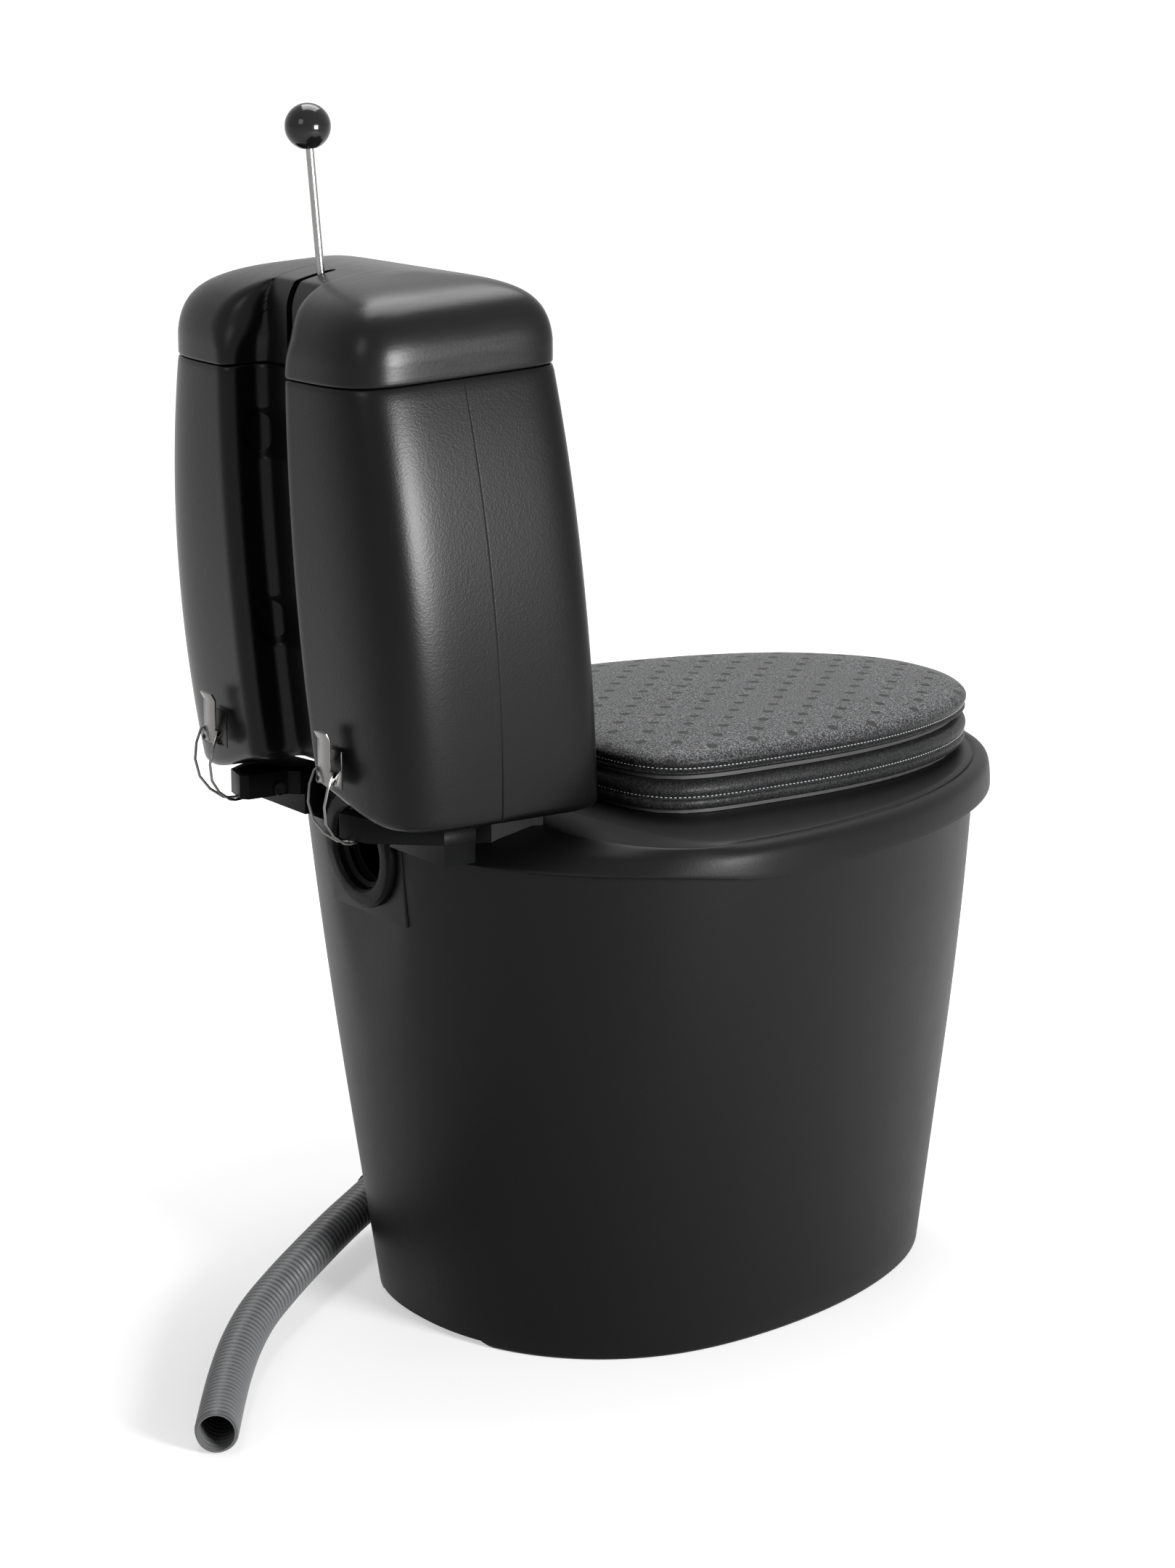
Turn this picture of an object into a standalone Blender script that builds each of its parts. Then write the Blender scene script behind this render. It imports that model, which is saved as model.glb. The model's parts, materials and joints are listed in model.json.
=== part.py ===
"""Dry toilet with a peat hopper behind the seat, modelled piece by piece.

Metres, +Z up, +Y towards the rear of the toilet. The origin is on the floor, and the object is
symmetric about x = 0 apart from its drain fitting and hose.
"""

import math

import bmesh
import bpy
from mathutils import Matrix, Vector

CLEARANCE = 0.0003
RING_POINTS = 56
SMALL_RING_POINTS = 32

# Outer casing: superellipse sections whose sides and front flare upwards
CASING_TOP = 0.466
CASING_WALL = 0.006
CASING_FLOOR = 0.008
CASING_BASE_HALF_WIDTH = 0.2056
CASING_SIDE_FLARE = 0.191
CASING_BASE_CENTRE_Y = 0.0201
CASING_CENTRE_SHIFT = 0.061
CASING_BASE_FRONT_DEPTH = 0.3567
CASING_FRONT_FLARE = 0.168
CASING_BASE_REAR_DEPTH = 0.198
CASING_REAR_FLARE = 0.078
CASING_FRONT_POWER = 1.8
CASING_BASE_REAR_POWER = 2.2
CASING_TOP_REAR_POWER = 1.95
CASING_FOOT_RADIUS = 0.004
CASING_TUCK = 0.009
CASING_REAR_TUCK = 0.0035
CASING_TUCK_START = 0.20
CASING_LEVELS = (0.25, 0.50, 0.70, 0.86, 1.00)
BASE_ARCH_HALF_WIDTH = 0.095
BASE_ARCH_HEIGHT = 0.0055
BASE_ARCH_SLOPE = 0.012
BASE_ARCH_FRONT_Y = 0.16
BASE_ARCH_REAR_Y = 0.30

# Vent: a flat panel leaning with the rear wall, a tongue above it and a flanged collar in it
VENT_DROP = 0.009
VENT_PANEL_INSET = 0.0079
VENT_PANEL_LEAN = math.radians(4.0)
VENT_BORE_RADIUS = 0.0375
VENT_FLANGE_RADIUS = 0.0545
VENT_FLANGE_THICKNESS = 0.009
VENT_BARREL_WALL = 0.004
VENT_BARREL_LENGTH = 0.016
VENT_LIP_HEIGHT = 0.005
VENT_LIP_DEPTHS = (0.001, 0.011)
VENT_LIP_ROOT = 0.004
VENT_LIP_EDGE = 0.001
VENT_EDGE = 0.003
TONGUE_HALF_WIDTH = 0.062
TONGUE_CORNER = 0.0174
TONGUE_RISE = 0.059
TONGUE_DROP = 0.062
TONGUE_THICKNESS = 0.008
TONGUE_PROUD = 0.001
NOTCH_GAP = 0.002

# Seat deck: the moulded cover that rests on the casing's rim
DECK_WALL = 0.0045
DECK_SKIRT_DROP = 0.007
DECK_SKIRT_OUTSET = 0.0165
DECK_SKIRT_EDGE = 0.002
DECK_RIM_RISE = 0.0245
DECK_RIM_SIDE_INSET = 0.0131
DECK_RIM_FRONT_INSET = 0.0140
DECK_RIM_REAR = 0.187
DECK_RIM_POWER = 3.1
DECK_SHELF_DROP = 0.001
DECK_SHELF_SIDE = 0.004
DECK_SHELF_FRONT = 0.006
DECK_SHELF_REAR = 0.008
DECK_PLINTH_RISE = 0.0025
DECK_PLINTH_EDGE = 0.0006
DECK_PLINTH_SIDE = 0.007
DECK_PLINTH_FRONT = 0.010
DECK_PLINTH_ROUND = 0.006
DECK_PLINTH_REAR = 0.137
DECK_PLINTH_POWER = 3.3
DECK_CENTRE_Y = 0.048
DECK_REAR_OUTSET = 0.0026
DECK_REAR_POWER = 1.95
DECK_RISE_START_Y = 0.030
DECK_RISE_END_Y = 0.150
# The rim's roll: inset at the side, drop below the rim, inset and drop at the rear, squareness
DECK_ROLL = (
    (0.0015, 0.0105, 0.020, 0.0150, 2.05),
    (0.0060, 0.0030, 0.052, 0.0070, 2.35),
)
# The roll's inside: drop below the plinth's underside, inset at the rear
DECK_ROLL_INSIDE = ((0.010, 0.028), (0.003, 0.055))
DECK_LEDGE = 0.003
DECK_SEAM_WIDTH = 0.006
SHAPE_MARGIN = 0.02

# Seat ring, lid and their cushions
SEAT_HALF_WIDTH = 0.196
SEAT_FRONT_Y = -0.368
SEAT_REAR_Y = 0.0945
SEAT_CENTRE_Y = -0.060
SEAT_FRONT_POWER = 2.12
SEAT_REAR_POWER = 5.2
SEAT_BOARD_THICKNESS = 0.0035
SEAT_BOARD_INSET = 0.009
RING_CUSHION_THICKNESS = 0.0265
RING_SEAM_SHARE = 0.42
LID_STITCH_RISE = 0.0063
LID_SIDE_RISE = 0.012
LID_CROWN_RISE = 0.011
CUSHION_PINCH = 0.003
CUSHION_FOOT_INSET = 0.005
CUSHION_FOOT_RISE = 0.004
CUSHION_BELLY = 0.0008
# Rounded edges of the cushions: drop below the top, and inset
RING_EDGE = ((0.008, 0.0), (0.003, 0.0025), (0.0, 0.010))
RING_HOLE_EDGE = ((0.0, 0.010), (0.005, 0.001))
RING_HOLE_FOOT = 0.002
LID_SIDE_SHARE = 0.6
LID_EDGE_INSET = 0.0022
LID_EDGE_ROUND = (0.007, 0.010)
LID_CROWN = ((0.0035, 0.030), (0.0012, 0.065), (0.0, 0.120))
SEAT_HOLE_HALF_WIDTH = 0.100
SEAT_HOLE_HALF_LENGTH = 0.130
SEAT_HOLE_Y = -0.150
SEAT_HOLE_POWER = 2.2
GUARD_WALL = 0.003
GUARD_LENGTH = 0.0575
GUARD_TAPER = 0.004
GUARD_FLANGE = 0.016
DECK_HOLE_MARGIN = 0.006

# Seat hinge
HINGE_SETBACK = 0.0065
HINGE_X = 0.072
HINGE_KNUCKLE_RADIUS = 0.006
HINGE_KNUCKLE_WIDTH = 0.020
HINGE_CHEEK_THICKNESS = 0.006
HINGE_CHEEK_RISE = 0.001
HINGE_PIN_RADIUS = 0.003
HINGE_BASE_DEPTH = 0.012
HINGE_TAB_LAP = 0.012
HINGE_SLOT_GAP = 0.0015

# Peat hopper: section sizes at its floor and at the seam under its lid
CRADLE_RISE = 0.019
HOPPER_HEIGHT = 0.373
HOPPER_BOTTOM_HALF_WIDTH = 0.1885
HOPPER_BOTTOM_FRONT_Y = 0.134
HOPPER_BOTTOM_REAR_Y = 0.3480
HOPPER_SEAM_HALF_WIDTH = 0.1675
HOPPER_SEAM_FRONT_Y = 0.166
HOPPER_SEAM_REAR_Y = 0.3768
HOPPER_SEAM_Y = 0.379
HOPPER_SEAM_TILT = math.radians(3.0)
HOPPER_REAR_POWER = 6.0
HOPPER_FRONT_POWER = 9.0
HOPPER_SIDE_BULGE = 0.0168
HOPPER_REAR_BULGE = 0.0070
HOPPER_LEVELS = (0.20, 0.45, 0.70)
HOPPER_WALL = 0.004
HOPPER_EDGE = 0.008
HOPPER_EDGE_SHARE = 0.3
SEAM_CHAMFER = 0.002
SEAM_CHAMFER_DEPTH = 0.003
CHANNEL_HALF_WIDTH = 0.046
CHANNEL_DEPTH = 0.038
CHANNEL_CORNER_RADIUS = 0.012
CHANNEL_LIP_RADIUS = 0.014
CHANNEL_CORNER_ANGLES = (-55, -25, 0)
CHANNEL_LIP_ANGLES = (180, 150, 120, 90)
LEAST_CHANNEL = 0.0015
SECTION_STEPS = 18
TUNNEL_FRONT_Y = 0.255
TUNNEL_REAR_Y = 0.42
TUNNEL_RISE = 0.025
TUNNEL_TOP_HALF_WIDTH = 0.050
TUNNEL_FOOT_HALF_WIDTH = 0.150
OUTLET_HALF_WIDTH = 0.060
OUTLET_FRONT_Y = 0.186
OUTLET_REAR_Y = 0.232
OUTLET_MARGIN = 0.004
FUNNEL_RISE = 0.064
# The funnel's sections: rise above the hopper's floor, half width, front and rear
FUNNEL = (
    (0.037, 0.110, 0.160, 0.262),
    (0.006, 0.074, 0.172, 0.242),
)
STRAP_RECESS_RISES = (0.149, 0.313)
STRAP_RECESS_HALF_HEIGHT = 0.020
STRAP_RECESS_DEPTH = 0.012
STRAP_RECESS_FLOOR = 0.004
STRAP_RECESS_REAR = 0.018
RECESS_BLOCK_HALF_HEIGHT = 0.024
RECESS_END_STEPS = 8

# Hopper lid
LID_WALL = 0.0035
LID_LIP_DEPTH = 0.006
LID_LIP_GAP = 0.0045
LID_LIP_DRAFT = 0.0004
LID_INSIDE_MARGIN = 0.0005
LID_DOME = (
    (0.0000, 0.0020),
    (0.0000, 0.0200),
    (0.0025, 0.0360),
    (0.0085, 0.0500),
    (0.0190, 0.0610),
    (0.0350, 0.0690),
    (0.0560, 0.0745),
    (0.0850, 0.0785),
)
LID_CROWN_INSET = 0.1000
LID_CROWN_HEIGHT = 0.0795
SLOT_HALF_WIDTH = 0.00475
SLOT_FRONT_Y = 0.298

# Dispenser lever
PIVOT_Y = 0.276
PIVOT_RISE = 0.089
KNOB_Y = 0.318
KNOB_RISE = 0.204
KNOB_RADIUS = 0.020
KNOB_SOCKET_SHARE = 0.3
ROD_RADIUS = 0.0035
SHAFT_RADIUS = 0.006
HUB_RADIUS = 0.012
HUB_HALF_WIDTH = 0.012
HUB_NECK_RADIUS = 0.0078
HUB_SOCKET_LENGTH = 0.026
HUB_WALL = 0.002
BUSH_RADIUS = 0.013
BUSH_LENGTH = 0.011
BUSH_END_WALL = 0.002
GATE_RADIUS = 0.046
GATE_THICKNESS = 0.003
GATE_SIDE_GAP = 0.004
GATE_WEB_THICKNESS = 0.004
GATE_WEB_INSET = 0.002
GATE_EYE_RADIUS = 0.011
GATE_EYE_ANGLES = (-60, 0, 60, 120)
GATE_STEPS = 10
GATE_START = math.radians(-178.0)
GATE_END = math.radians(-108.0)

# Cradle under the hopper, and the brackets that its latches pull against
CRADLE_HALF_WIDTH = 0.135
CRADLE_FRONT_Y = 0.150
CRADLE_REAR_Y = 0.246
CRADLE_WALL = 0.007
CRADLE_POWER = 6.0
BRACKET_INNER_X = 0.072
BRACKET_OUTER_X = 0.162
BRACKET_ROOT_Y = 0.258
BRACKET_SHOULDER_Y = 0.290
BRACKET_NOSE_Y = 0.350
BRACKET_NOSE_INWARD = 0.019
BRACKET_NOSE_OUTWARD = 0.021
BRACKET_RISE = 0.001
BRACKET_THICKNESS = 0.013
BRACKET_NOSE_RISE = 0.009
BRACKET_ROOT_DROP = 0.019
BRACKET_STEP = 0.0005
SCREW_HEAD_RADIUS = 0.006
SCREW_HEAD_THICKNESS = 0.003
SCREW_Y = 0.312

# Over-centre latches
LATCH_X = 0.099
LATCH_PIVOT_RISE = 0.037
LATCH_LEVER_LENGTH = 0.042
LATCH_LEVER_HALF_WIDTH = 0.010
LATCH_LEVER_FOOT = 0.002
LATCH_SHEET = 0.0015
LATCH_STANDOFF = 0.0075
LATCH_BASE_HALF_WIDTH = 0.0125
LATCH_BASE_DROP = 0.007
LATCH_BASE_RISE = 0.026
LATCH_EAR_RADIUS = 0.0045
LATCH_EAR_RISE = 0.012
LATCH_EAR_ANGLES = (-60, -30, 0, 30, 60)
LATCH_EAR_LAP = 0.0002
LATCH_PIN_RADIUS = 0.0015
LATCH_PIN_OVERHANG = 0.001
LATCH_KNUCKLE_GAP = 0.0008
LATCH_TAB = 0.006
LATCH_TAB_REACH = 0.0035
LATCH_TAB_CURL = 0.0012
BAIL_RADIUS = 0.00125
BAIL_PIVOT_RISE = 0.009
BAIL_TOP_HALF_WIDTH = 0.0145
BAIL_FOOT_HALF_WIDTH = 0.006
BAIL_HOOK_GAP = 0.0004
# The bail's side: share of its drop, share of its narrowing and bulge behind its pivot
BAIL_SIDE = (
    (0.03, 0.00, 0.0015),
    (0.21, -0.06, 0.0060),
    (0.43, 0.12, 0.0085),
    (0.67, 0.40, 0.0055),
    (0.85, 0.70, -0.0030),
)

# Strainer, drain fitting and hose
STRAINER_HEIGHT = 0.078
STRAINER_THICKNESS = 0.004
STRAINER_GAP = 0.004
STRAINER_HOLE_RADIUS = 0.009
STRAINER_HOLE_PITCH = 0.075
STRAINER_HOLE_ROWS = 4
STRAINER_HOLE_COLUMNS = 3
STRAINER_FIRST_HOLE_Y = -0.124
STRAINER_FOOT_RADIUS = 0.012
STRAINER_FOOT_X = 0.10
STRAINER_FOOT_FRONT_Y = -0.20
STRAINER_FOOT_REAR_Y = 0.12
DRAIN_BOSS_RADIUS = 0.027
DRAIN_BOSS_PROUD = 0.0080
DRAIN_TUBE_INSIDE = 0.028
DRAIN_BOSS_DEPTH = 0.018
DRAIN_BORE_RADIUS = 0.013
ELBOW_STEPS = 5
DRAIN_TUBE_RADIUS = 0.0165
DRAIN_HOLE_GAP = 0.0010
DRAIN_FLANGE_RADIUS = 0.0235
DRAIN_FLANGE_THICKNESS = 0.004
GASKET_THICKNESS = 0.003
ELBOW_LEG = 0.026
COLLAR_RADIUS = 0.0205
COLLAR_LENGTH = 0.012
NUT_RADIUS = 0.024
NUT_THICKNESS = 0.007
NUT_THREAD_END = 0.002
CUT_REACH = 0.01
HOSE_RADIUS = 0.019
HOSE_BORE_RADIUS = 0.0158
HOSE_RIB_PITCH = 0.0060
HOSE_RIB_DEPTH = 0.0013
HOSE_ROUTE_STEPS = 12
HOSE_ROUTE = (
    (0.2020, 0.1604, 0.0430),
    (0.1697, 0.2053, 0.0400),
    (0.1260, 0.2626, 0.0355),
    (0.0833, 0.3163, 0.0310),
    (0.0395, 0.3662, 0.0270),
    (-0.0075, 0.4094, 0.0235),
    (-0.0563, 0.4479, 0.0205),
    (-0.1082, 0.4846, 0.0195),
)
HOSE_END = (-0.1690, 0.5256, 0.0195)

# Heights that follow from the ones above, from the casing's rim upwards
VENT_HEIGHT = CASING_TOP - VENT_DROP
SEAM_HEIGHT = CASING_TOP + CLEARANCE
DECK_SKIRT_BOTTOM = CASING_TOP - DECK_SKIRT_DROP
DECK_RIM_TOP = CASING_TOP + DECK_RIM_RISE
DECK_SHELF = DECK_RIM_TOP - DECK_SHELF_DROP
DECK_PLINTH = DECK_SHELF + DECK_PLINTH_RISE
GUARD_BOTTOM = DECK_SHELF - GUARD_LENGTH
RING_BOARD_BOTTOM = DECK_PLINTH + CLEARANCE
RING_CUSHION_BOTTOM = RING_BOARD_BOTTOM + SEAT_BOARD_THICKNESS + CLEARANCE
RING_CUSHION_TOP = RING_CUSHION_BOTTOM + RING_CUSHION_THICKNESS
LID_BOARD_BOTTOM = RING_CUSHION_TOP + CLEARANCE
LID_CUSHION_BOTTOM = LID_BOARD_BOTTOM + SEAT_BOARD_THICKNESS + CLEARANCE
LID_STITCH_HEIGHT = LID_CUSHION_BOTTOM + LID_STITCH_RISE
LID_EDGE_HEIGHT = LID_STITCH_HEIGHT + LID_SIDE_RISE
LID_CUSHION_TOP = LID_EDGE_HEIGHT + LID_CROWN_RISE
HINGE_Y = SEAT_REAR_Y + HINGE_SETBACK
HINGE_Z = LID_BOARD_BOTTOM
HOPPER_BOTTOM = DECK_PLINTH + CRADLE_RISE
HOPPER_SEAM_Z = HOPPER_BOTTOM + HOPPER_HEIGHT
FUNNEL_TOP = HOPPER_BOTTOM + FUNNEL_RISE
PIVOT_Z = HOPPER_BOTTOM + PIVOT_RISE
KNOB_Z = HOPPER_SEAM_Z + KNOB_RISE
BRACKET_BOTTOM = DECK_PLINTH + BRACKET_RISE
BRACKET_TOP = BRACKET_BOTTOM + BRACKET_THICKNESS
BRACKET_NOSE_INNER_X = LATCH_X - BRACKET_NOSE_INWARD
BRACKET_NOSE_OUTER_X = LATCH_X + BRACKET_NOSE_OUTWARD
SCREW_Z = (BRACKET_BOTTOM + BRACKET_TOP) / 2
LATCH_PIVOT_Z = HOPPER_BOTTOM + LATCH_PIVOT_RISE
LATCH_LEVER_TOP = LATCH_PIVOT_Z + LATCH_LEVER_LENGTH

COLOURS = {
    "casing_plastic": ((0.030, 0.031, 0.033), 0.0, 0.45),
    "hopper_plastic": ((0.022, 0.022, 0.024), 0.0, 0.40),
    "lid_plastic": ((0.028, 0.028, 0.030), 0.0, 0.32),
    "bracket_plastic": ((0.035, 0.038, 0.044), 0.0, 0.45),
    "inner_plastic": ((0.060, 0.060, 0.062), 0.0, 0.55),
    "upholstery": ((0.040, 0.040, 0.042), 0.0, 0.70),
    "board": ((0.080, 0.078, 0.075), 0.0, 0.60),
    "ball_plastic": ((0.012, 0.012, 0.013), 0.0, 0.08),
    "stainless_steel": ((0.62, 0.61, 0.59), 1.0, 0.25),
    "nickel_plate": ((0.66, 0.64, 0.60), 1.0, 0.20),
    "rubber": ((0.025, 0.025, 0.026), 0.0, 0.75),
    "hose_plastic": ((0.145, 0.150, 0.155), 0.0, 0.50),
}

scene = bpy.context.scene
for old in list(bpy.data.objects):
    bpy.data.objects.remove(old, do_unlink=True)
parts = bpy.data.collections.new("dry_toilet")
cutters = bpy.data.collections.new("cutters")
scene.collection.children.link(parts)
scene.collection.children.link(cutters)
cutters.hide_render = True


def make_material(name):
    """Principled material from the table of colours."""
    colour, metallic, roughness = COLOURS[name]
    material = bpy.data.materials.new(name)
    material.use_nodes = True
    shader = material.node_tree.nodes["Principled BSDF"]
    shader.inputs["Base Color"].default_value = (*colour, 1.0)
    shader.inputs["Metallic"].default_value = metallic
    shader.inputs["Roughness"].default_value = roughness
    material.diffuse_color = (*colour, 1.0)
    return material


MATERIALS = {name: make_material(name) for name in COLOURS}
UPRIGHT = Matrix.Rotation(math.radians(90), 4, "X")
X_TO_SIDE = Matrix(((0, 0, 1, 0), (1, 0, 0, 0), (0, 1, 0, 0), (0, 0, 0, 1)))


def place(name, data, material=None, matrix=None):
    """Link an object: a part where it has a material, and otherwise a hidden cutter."""
    thing = bpy.data.objects.new(name, data)
    if material:
        data.materials.clear()
        data.materials.append(MATERIALS[material])
        parts.objects.link(thing)
    else:
        thing.hide_render = True
        thing.display_type = "WIRE"
        cutters.objects.link(thing)
    if matrix is not None:
        thing.matrix_world = matrix
    return thing


def mesh_from(name, grid, smooth=True):
    """Finish a bmesh into a mesh with its faces turned outwards."""
    bmesh.ops.recalc_face_normals(grid, faces=grid.faces[:])
    for face in grid.faces:
        face.smooth = smooth and len(face.verts) <= 4
    mesh = bpy.data.meshes.new(name)
    grid.to_mesh(mesh)
    grid.free()
    return mesh


def loft(name, rings, material=None, closed=False, matrix=None):
    """Skin rings of equal length in order: capped at both ends, or joined end to start."""
    grid = bmesh.new()
    loops = [[grid.verts.new(point) for point in ring] for ring in rings]
    pairs = list(zip(loops, loops[1:]))
    if closed:
        pairs.append((loops[-1], loops[0]))
    else:
        grid.faces.new(loops[0])
        grid.faces.new(loops[-1])
    for low, high in pairs:
        for i in range(len(low)):
            j = (i + 1) % len(low)
            grid.faces.new((low[i], low[j], high[j], high[i]))
    return place(name, mesh_from(name, grid), material, matrix)


def cylinder(name, radius, start, end, material=None, sides=24):
    """A round bar from one point to another."""
    start, end = Vector(start), Vector(end)
    axis = end - start
    grid = bmesh.new()
    bmesh.ops.create_cone(
        grid, cap_ends=True, segments=sides, radius1=radius, radius2=radius, depth=axis.length
    )
    turn = axis.to_track_quat("Z", "Y").to_matrix().to_4x4()
    return place(name, mesh_from(name, grid), material, Matrix.Translation((start + end) / 2) @ turn)


def box(name, low, high, material=None):
    """An upright box between two corners."""
    low, high = Vector(low), Vector(high)
    size = high - low
    grid = bmesh.new()
    bmesh.ops.create_cube(grid, size=1.0)
    bmesh.ops.scale(grid, vec=size, verts=grid.verts[:])
    return place(name, mesh_from(name, grid, False), material, Matrix.Translation((low + high) / 2))


def mirrored(half):
    """A half outline of (x, y) points, with its mirror image across x = 0 after it."""
    return half + [(-x, y) for x, y in reversed(half)]


def arc_points(radius, start, end, steps, centre=(0.0, 0.0)):
    """Points on an arc between two angles."""
    angles = [start + (end - start) * i / steps for i in range(steps + 1)]
    return [(centre[0] + radius * math.cos(a), centre[1] + radius * math.sin(a)) for a in angles]


def extruded(name, outline, low, high, material=None, matrix=None):
    """A flat outline in XY, from one height to another."""
    rings = [[(x, y, z) for x, y in outline] for z in (low, high)]
    thing = loft(name, rings, material, matrix=matrix)
    for face in thing.data.polygons:
        face.use_smooth = False
    return thing


def revolved(name, profile, matrix, material=None, steps=36):
    """A closed profile of (radius, height) points, turned about the local Z axis."""
    data = bpy.data.meshes.new(name)
    points = [(radius, 0.0, height) for radius, height in profile]
    edges = [(i, (i + 1) % len(points)) for i in range(len(points))]
    data.from_pydata(points, edges, [])
    thing = place(name, data, material, matrix)
    screw = thing.modifiers.new("Screw", "SCREW")
    screw.axis = "Z"
    screw.steps = steps
    screw.render_steps = steps
    screw.use_merge_vertices = True
    screw.merge_threshold = 0.00005
    screw.use_normal_calculate = True
    screw.use_smooth_shade = True
    return thing


def wire(name, points, radius, material=None, resolution=2, radii=None):
    """A round tube along points, as a closed mesh."""
    curve = bpy.data.curves.new(name + "_path", "CURVE")
    curve.dimensions = "3D"
    curve.bevel_depth = radius
    curve.bevel_resolution = resolution
    curve.use_fill_caps = True
    spline = curve.splines.new("POLY")
    spline.points.add(len(points) - 1)
    for i, point in enumerate(points):
        spline.points[i].co = (*point, 1.0)
        spline.points[i].radius = radii[i] if radii else 1.0
    guide = bpy.data.objects.new(name + "_guide", curve)
    cutters.objects.link(guide)
    bpy.context.view_layer.update()
    mesh = bpy.data.meshes.new_from_object(guide.evaluated_get(bpy.context.evaluated_depsgraph_get()))
    bpy.data.objects.remove(guide, do_unlink=True)
    grid = bmesh.new()
    grid.from_mesh(mesh)
    bmesh.ops.remove_doubles(grid, verts=grid.verts[:], dist=0.00001)
    return place(name, mesh_from(name, grid), material)


def boolean(target, other, operation="DIFFERENCE"):
    """Join or cut with the exact solver."""
    modifier = target.modifiers.new(operation.title() + " " + other.name, "BOOLEAN")
    modifier.operation = operation
    modifier.solver = "EXACT"
    modifier.object = other
    return target


def joint_empty(name, point):
    """An empty on a joint's axis, which the moving pieces hang from."""
    empty = bpy.data.objects.new(name, None)
    empty.empty_display_size = 0.03
    empty.location = point
    parts.objects.link(empty)
    return empty


def hang(empty, *things):
    """Parent pieces to an empty and leave them where they are."""
    bpy.context.view_layer.update()
    for thing in things:
        thing.parent = empty
        thing.matrix_parent_inverse = empty.matrix_world.inverted()


def lerp(low, high, share):
    return low + (high - low) * share


def superellipse(half_width, front, rear, centre, front_power, rear_power, count=RING_POINTS):
    """Outline whose front and rear halves have their own depth and squareness."""
    outline = []
    for i in range(count):
        angle = 2 * math.pi * i / count
        c, s = math.cos(angle), math.sin(angle)
        depth, power = (rear - centre, rear_power) if s >= 0 else (centre - front, front_power)
        reach = (abs(c / half_width) ** power + abs(s / depth) ** power) ** (-1 / power)
        outline.append((reach * c, centre + reach * s))
    return outline


def casing_tuck(z):
    """Share of the tuck by which the flare eases off towards the top."""
    return (max(z - CASING_TUCK_START, 0.0) / (CASING_TOP - CASING_TUCK_START)) ** 2


def casing_half_width(z):
    return CASING_BASE_HALF_WIDTH + CASING_SIDE_FLARE * z - CASING_TUCK * casing_tuck(z)


def casing_centre(z):
    return CASING_BASE_CENTRE_Y + CASING_CENTRE_SHIFT * z


def casing_front(z):
    depth = CASING_BASE_FRONT_DEPTH + CASING_FRONT_FLARE * z - CASING_TUCK * casing_tuck(z)
    return casing_centre(z) - depth


def casing_rear(z):
    depth = CASING_BASE_REAR_DEPTH + CASING_REAR_FLARE * z - CASING_REAR_TUCK * casing_tuck(z)
    return casing_centre(z) + depth


VENT_PANEL_Y = casing_rear(VENT_HEIGHT) - VENT_PANEL_INSET
DECK_REAR_Y = casing_rear(CASING_TOP) + DECK_REAR_OUTSET


def panel_y(z):
    """Outer face of the flat vent panel at a height."""
    return VENT_PANEL_Y + (z - VENT_HEIGHT) * math.tan(VENT_PANEL_LEAN)


def casing_rear_power(z):
    return lerp(CASING_BASE_REAR_POWER, CASING_TOP_REAR_POWER, z / CASING_TOP)


def casing_reach(out, z):
    """Distance from the casing's centre to its wall in a direction towards the rear."""
    power = casing_rear_power(z)
    depth = casing_rear(z) - casing_centre(z)
    return (abs(out.x / casing_half_width(z)) ** power + abs(out.y / depth) ** power) ** (-1 / power)


def casing_ring(z, inset=0.0, height=None):
    """Section of the casing at a height, drawn in by an inset and flattened at the vent panel."""
    outline = superellipse(
        casing_half_width(z) - inset,
        casing_front(z) + inset,
        casing_rear(z) - inset,
        casing_centre(z),
        CASING_FRONT_POWER,
        casing_rear_power(z),
    )
    limit = panel_y(z) - inset
    level = z if height is None else height
    return [(x, min(y, limit), level) for x, y in outline]


def vent_matrix():
    """Local +Z points out of the vent panel, from its outer face."""
    turn = Matrix.Rotation(math.radians(-90) - VENT_PANEL_LEAN, 4, "X")
    return Matrix.Translation((0, VENT_PANEL_Y, VENT_HEIGHT)) @ turn


def hose_start():
    """Centre of the collar's end face and the direction that the hose leaves it in."""
    first = Vector(HOSE_ROUTE[0])
    along = (Vector(HOSE_ROUTE[1]) - first).normalized()
    return first - along * (HOSE_RADIUS * 2 + CLEARANCE), along


def drain_frame():
    """Outer face of the drain boss, its outward direction and the corner of the elbow."""
    collar_end, along = hose_start()
    corner = collar_end - along * (COLLAR_LENGTH + ELBOW_LEG)
    centre = Vector((0, casing_centre(corner.z), corner.z))
    out = (corner - centre).normalized()
    return centre + out * (casing_reach(out, corner.z) + DRAIN_BOSS_PROUD), out, corner


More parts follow.
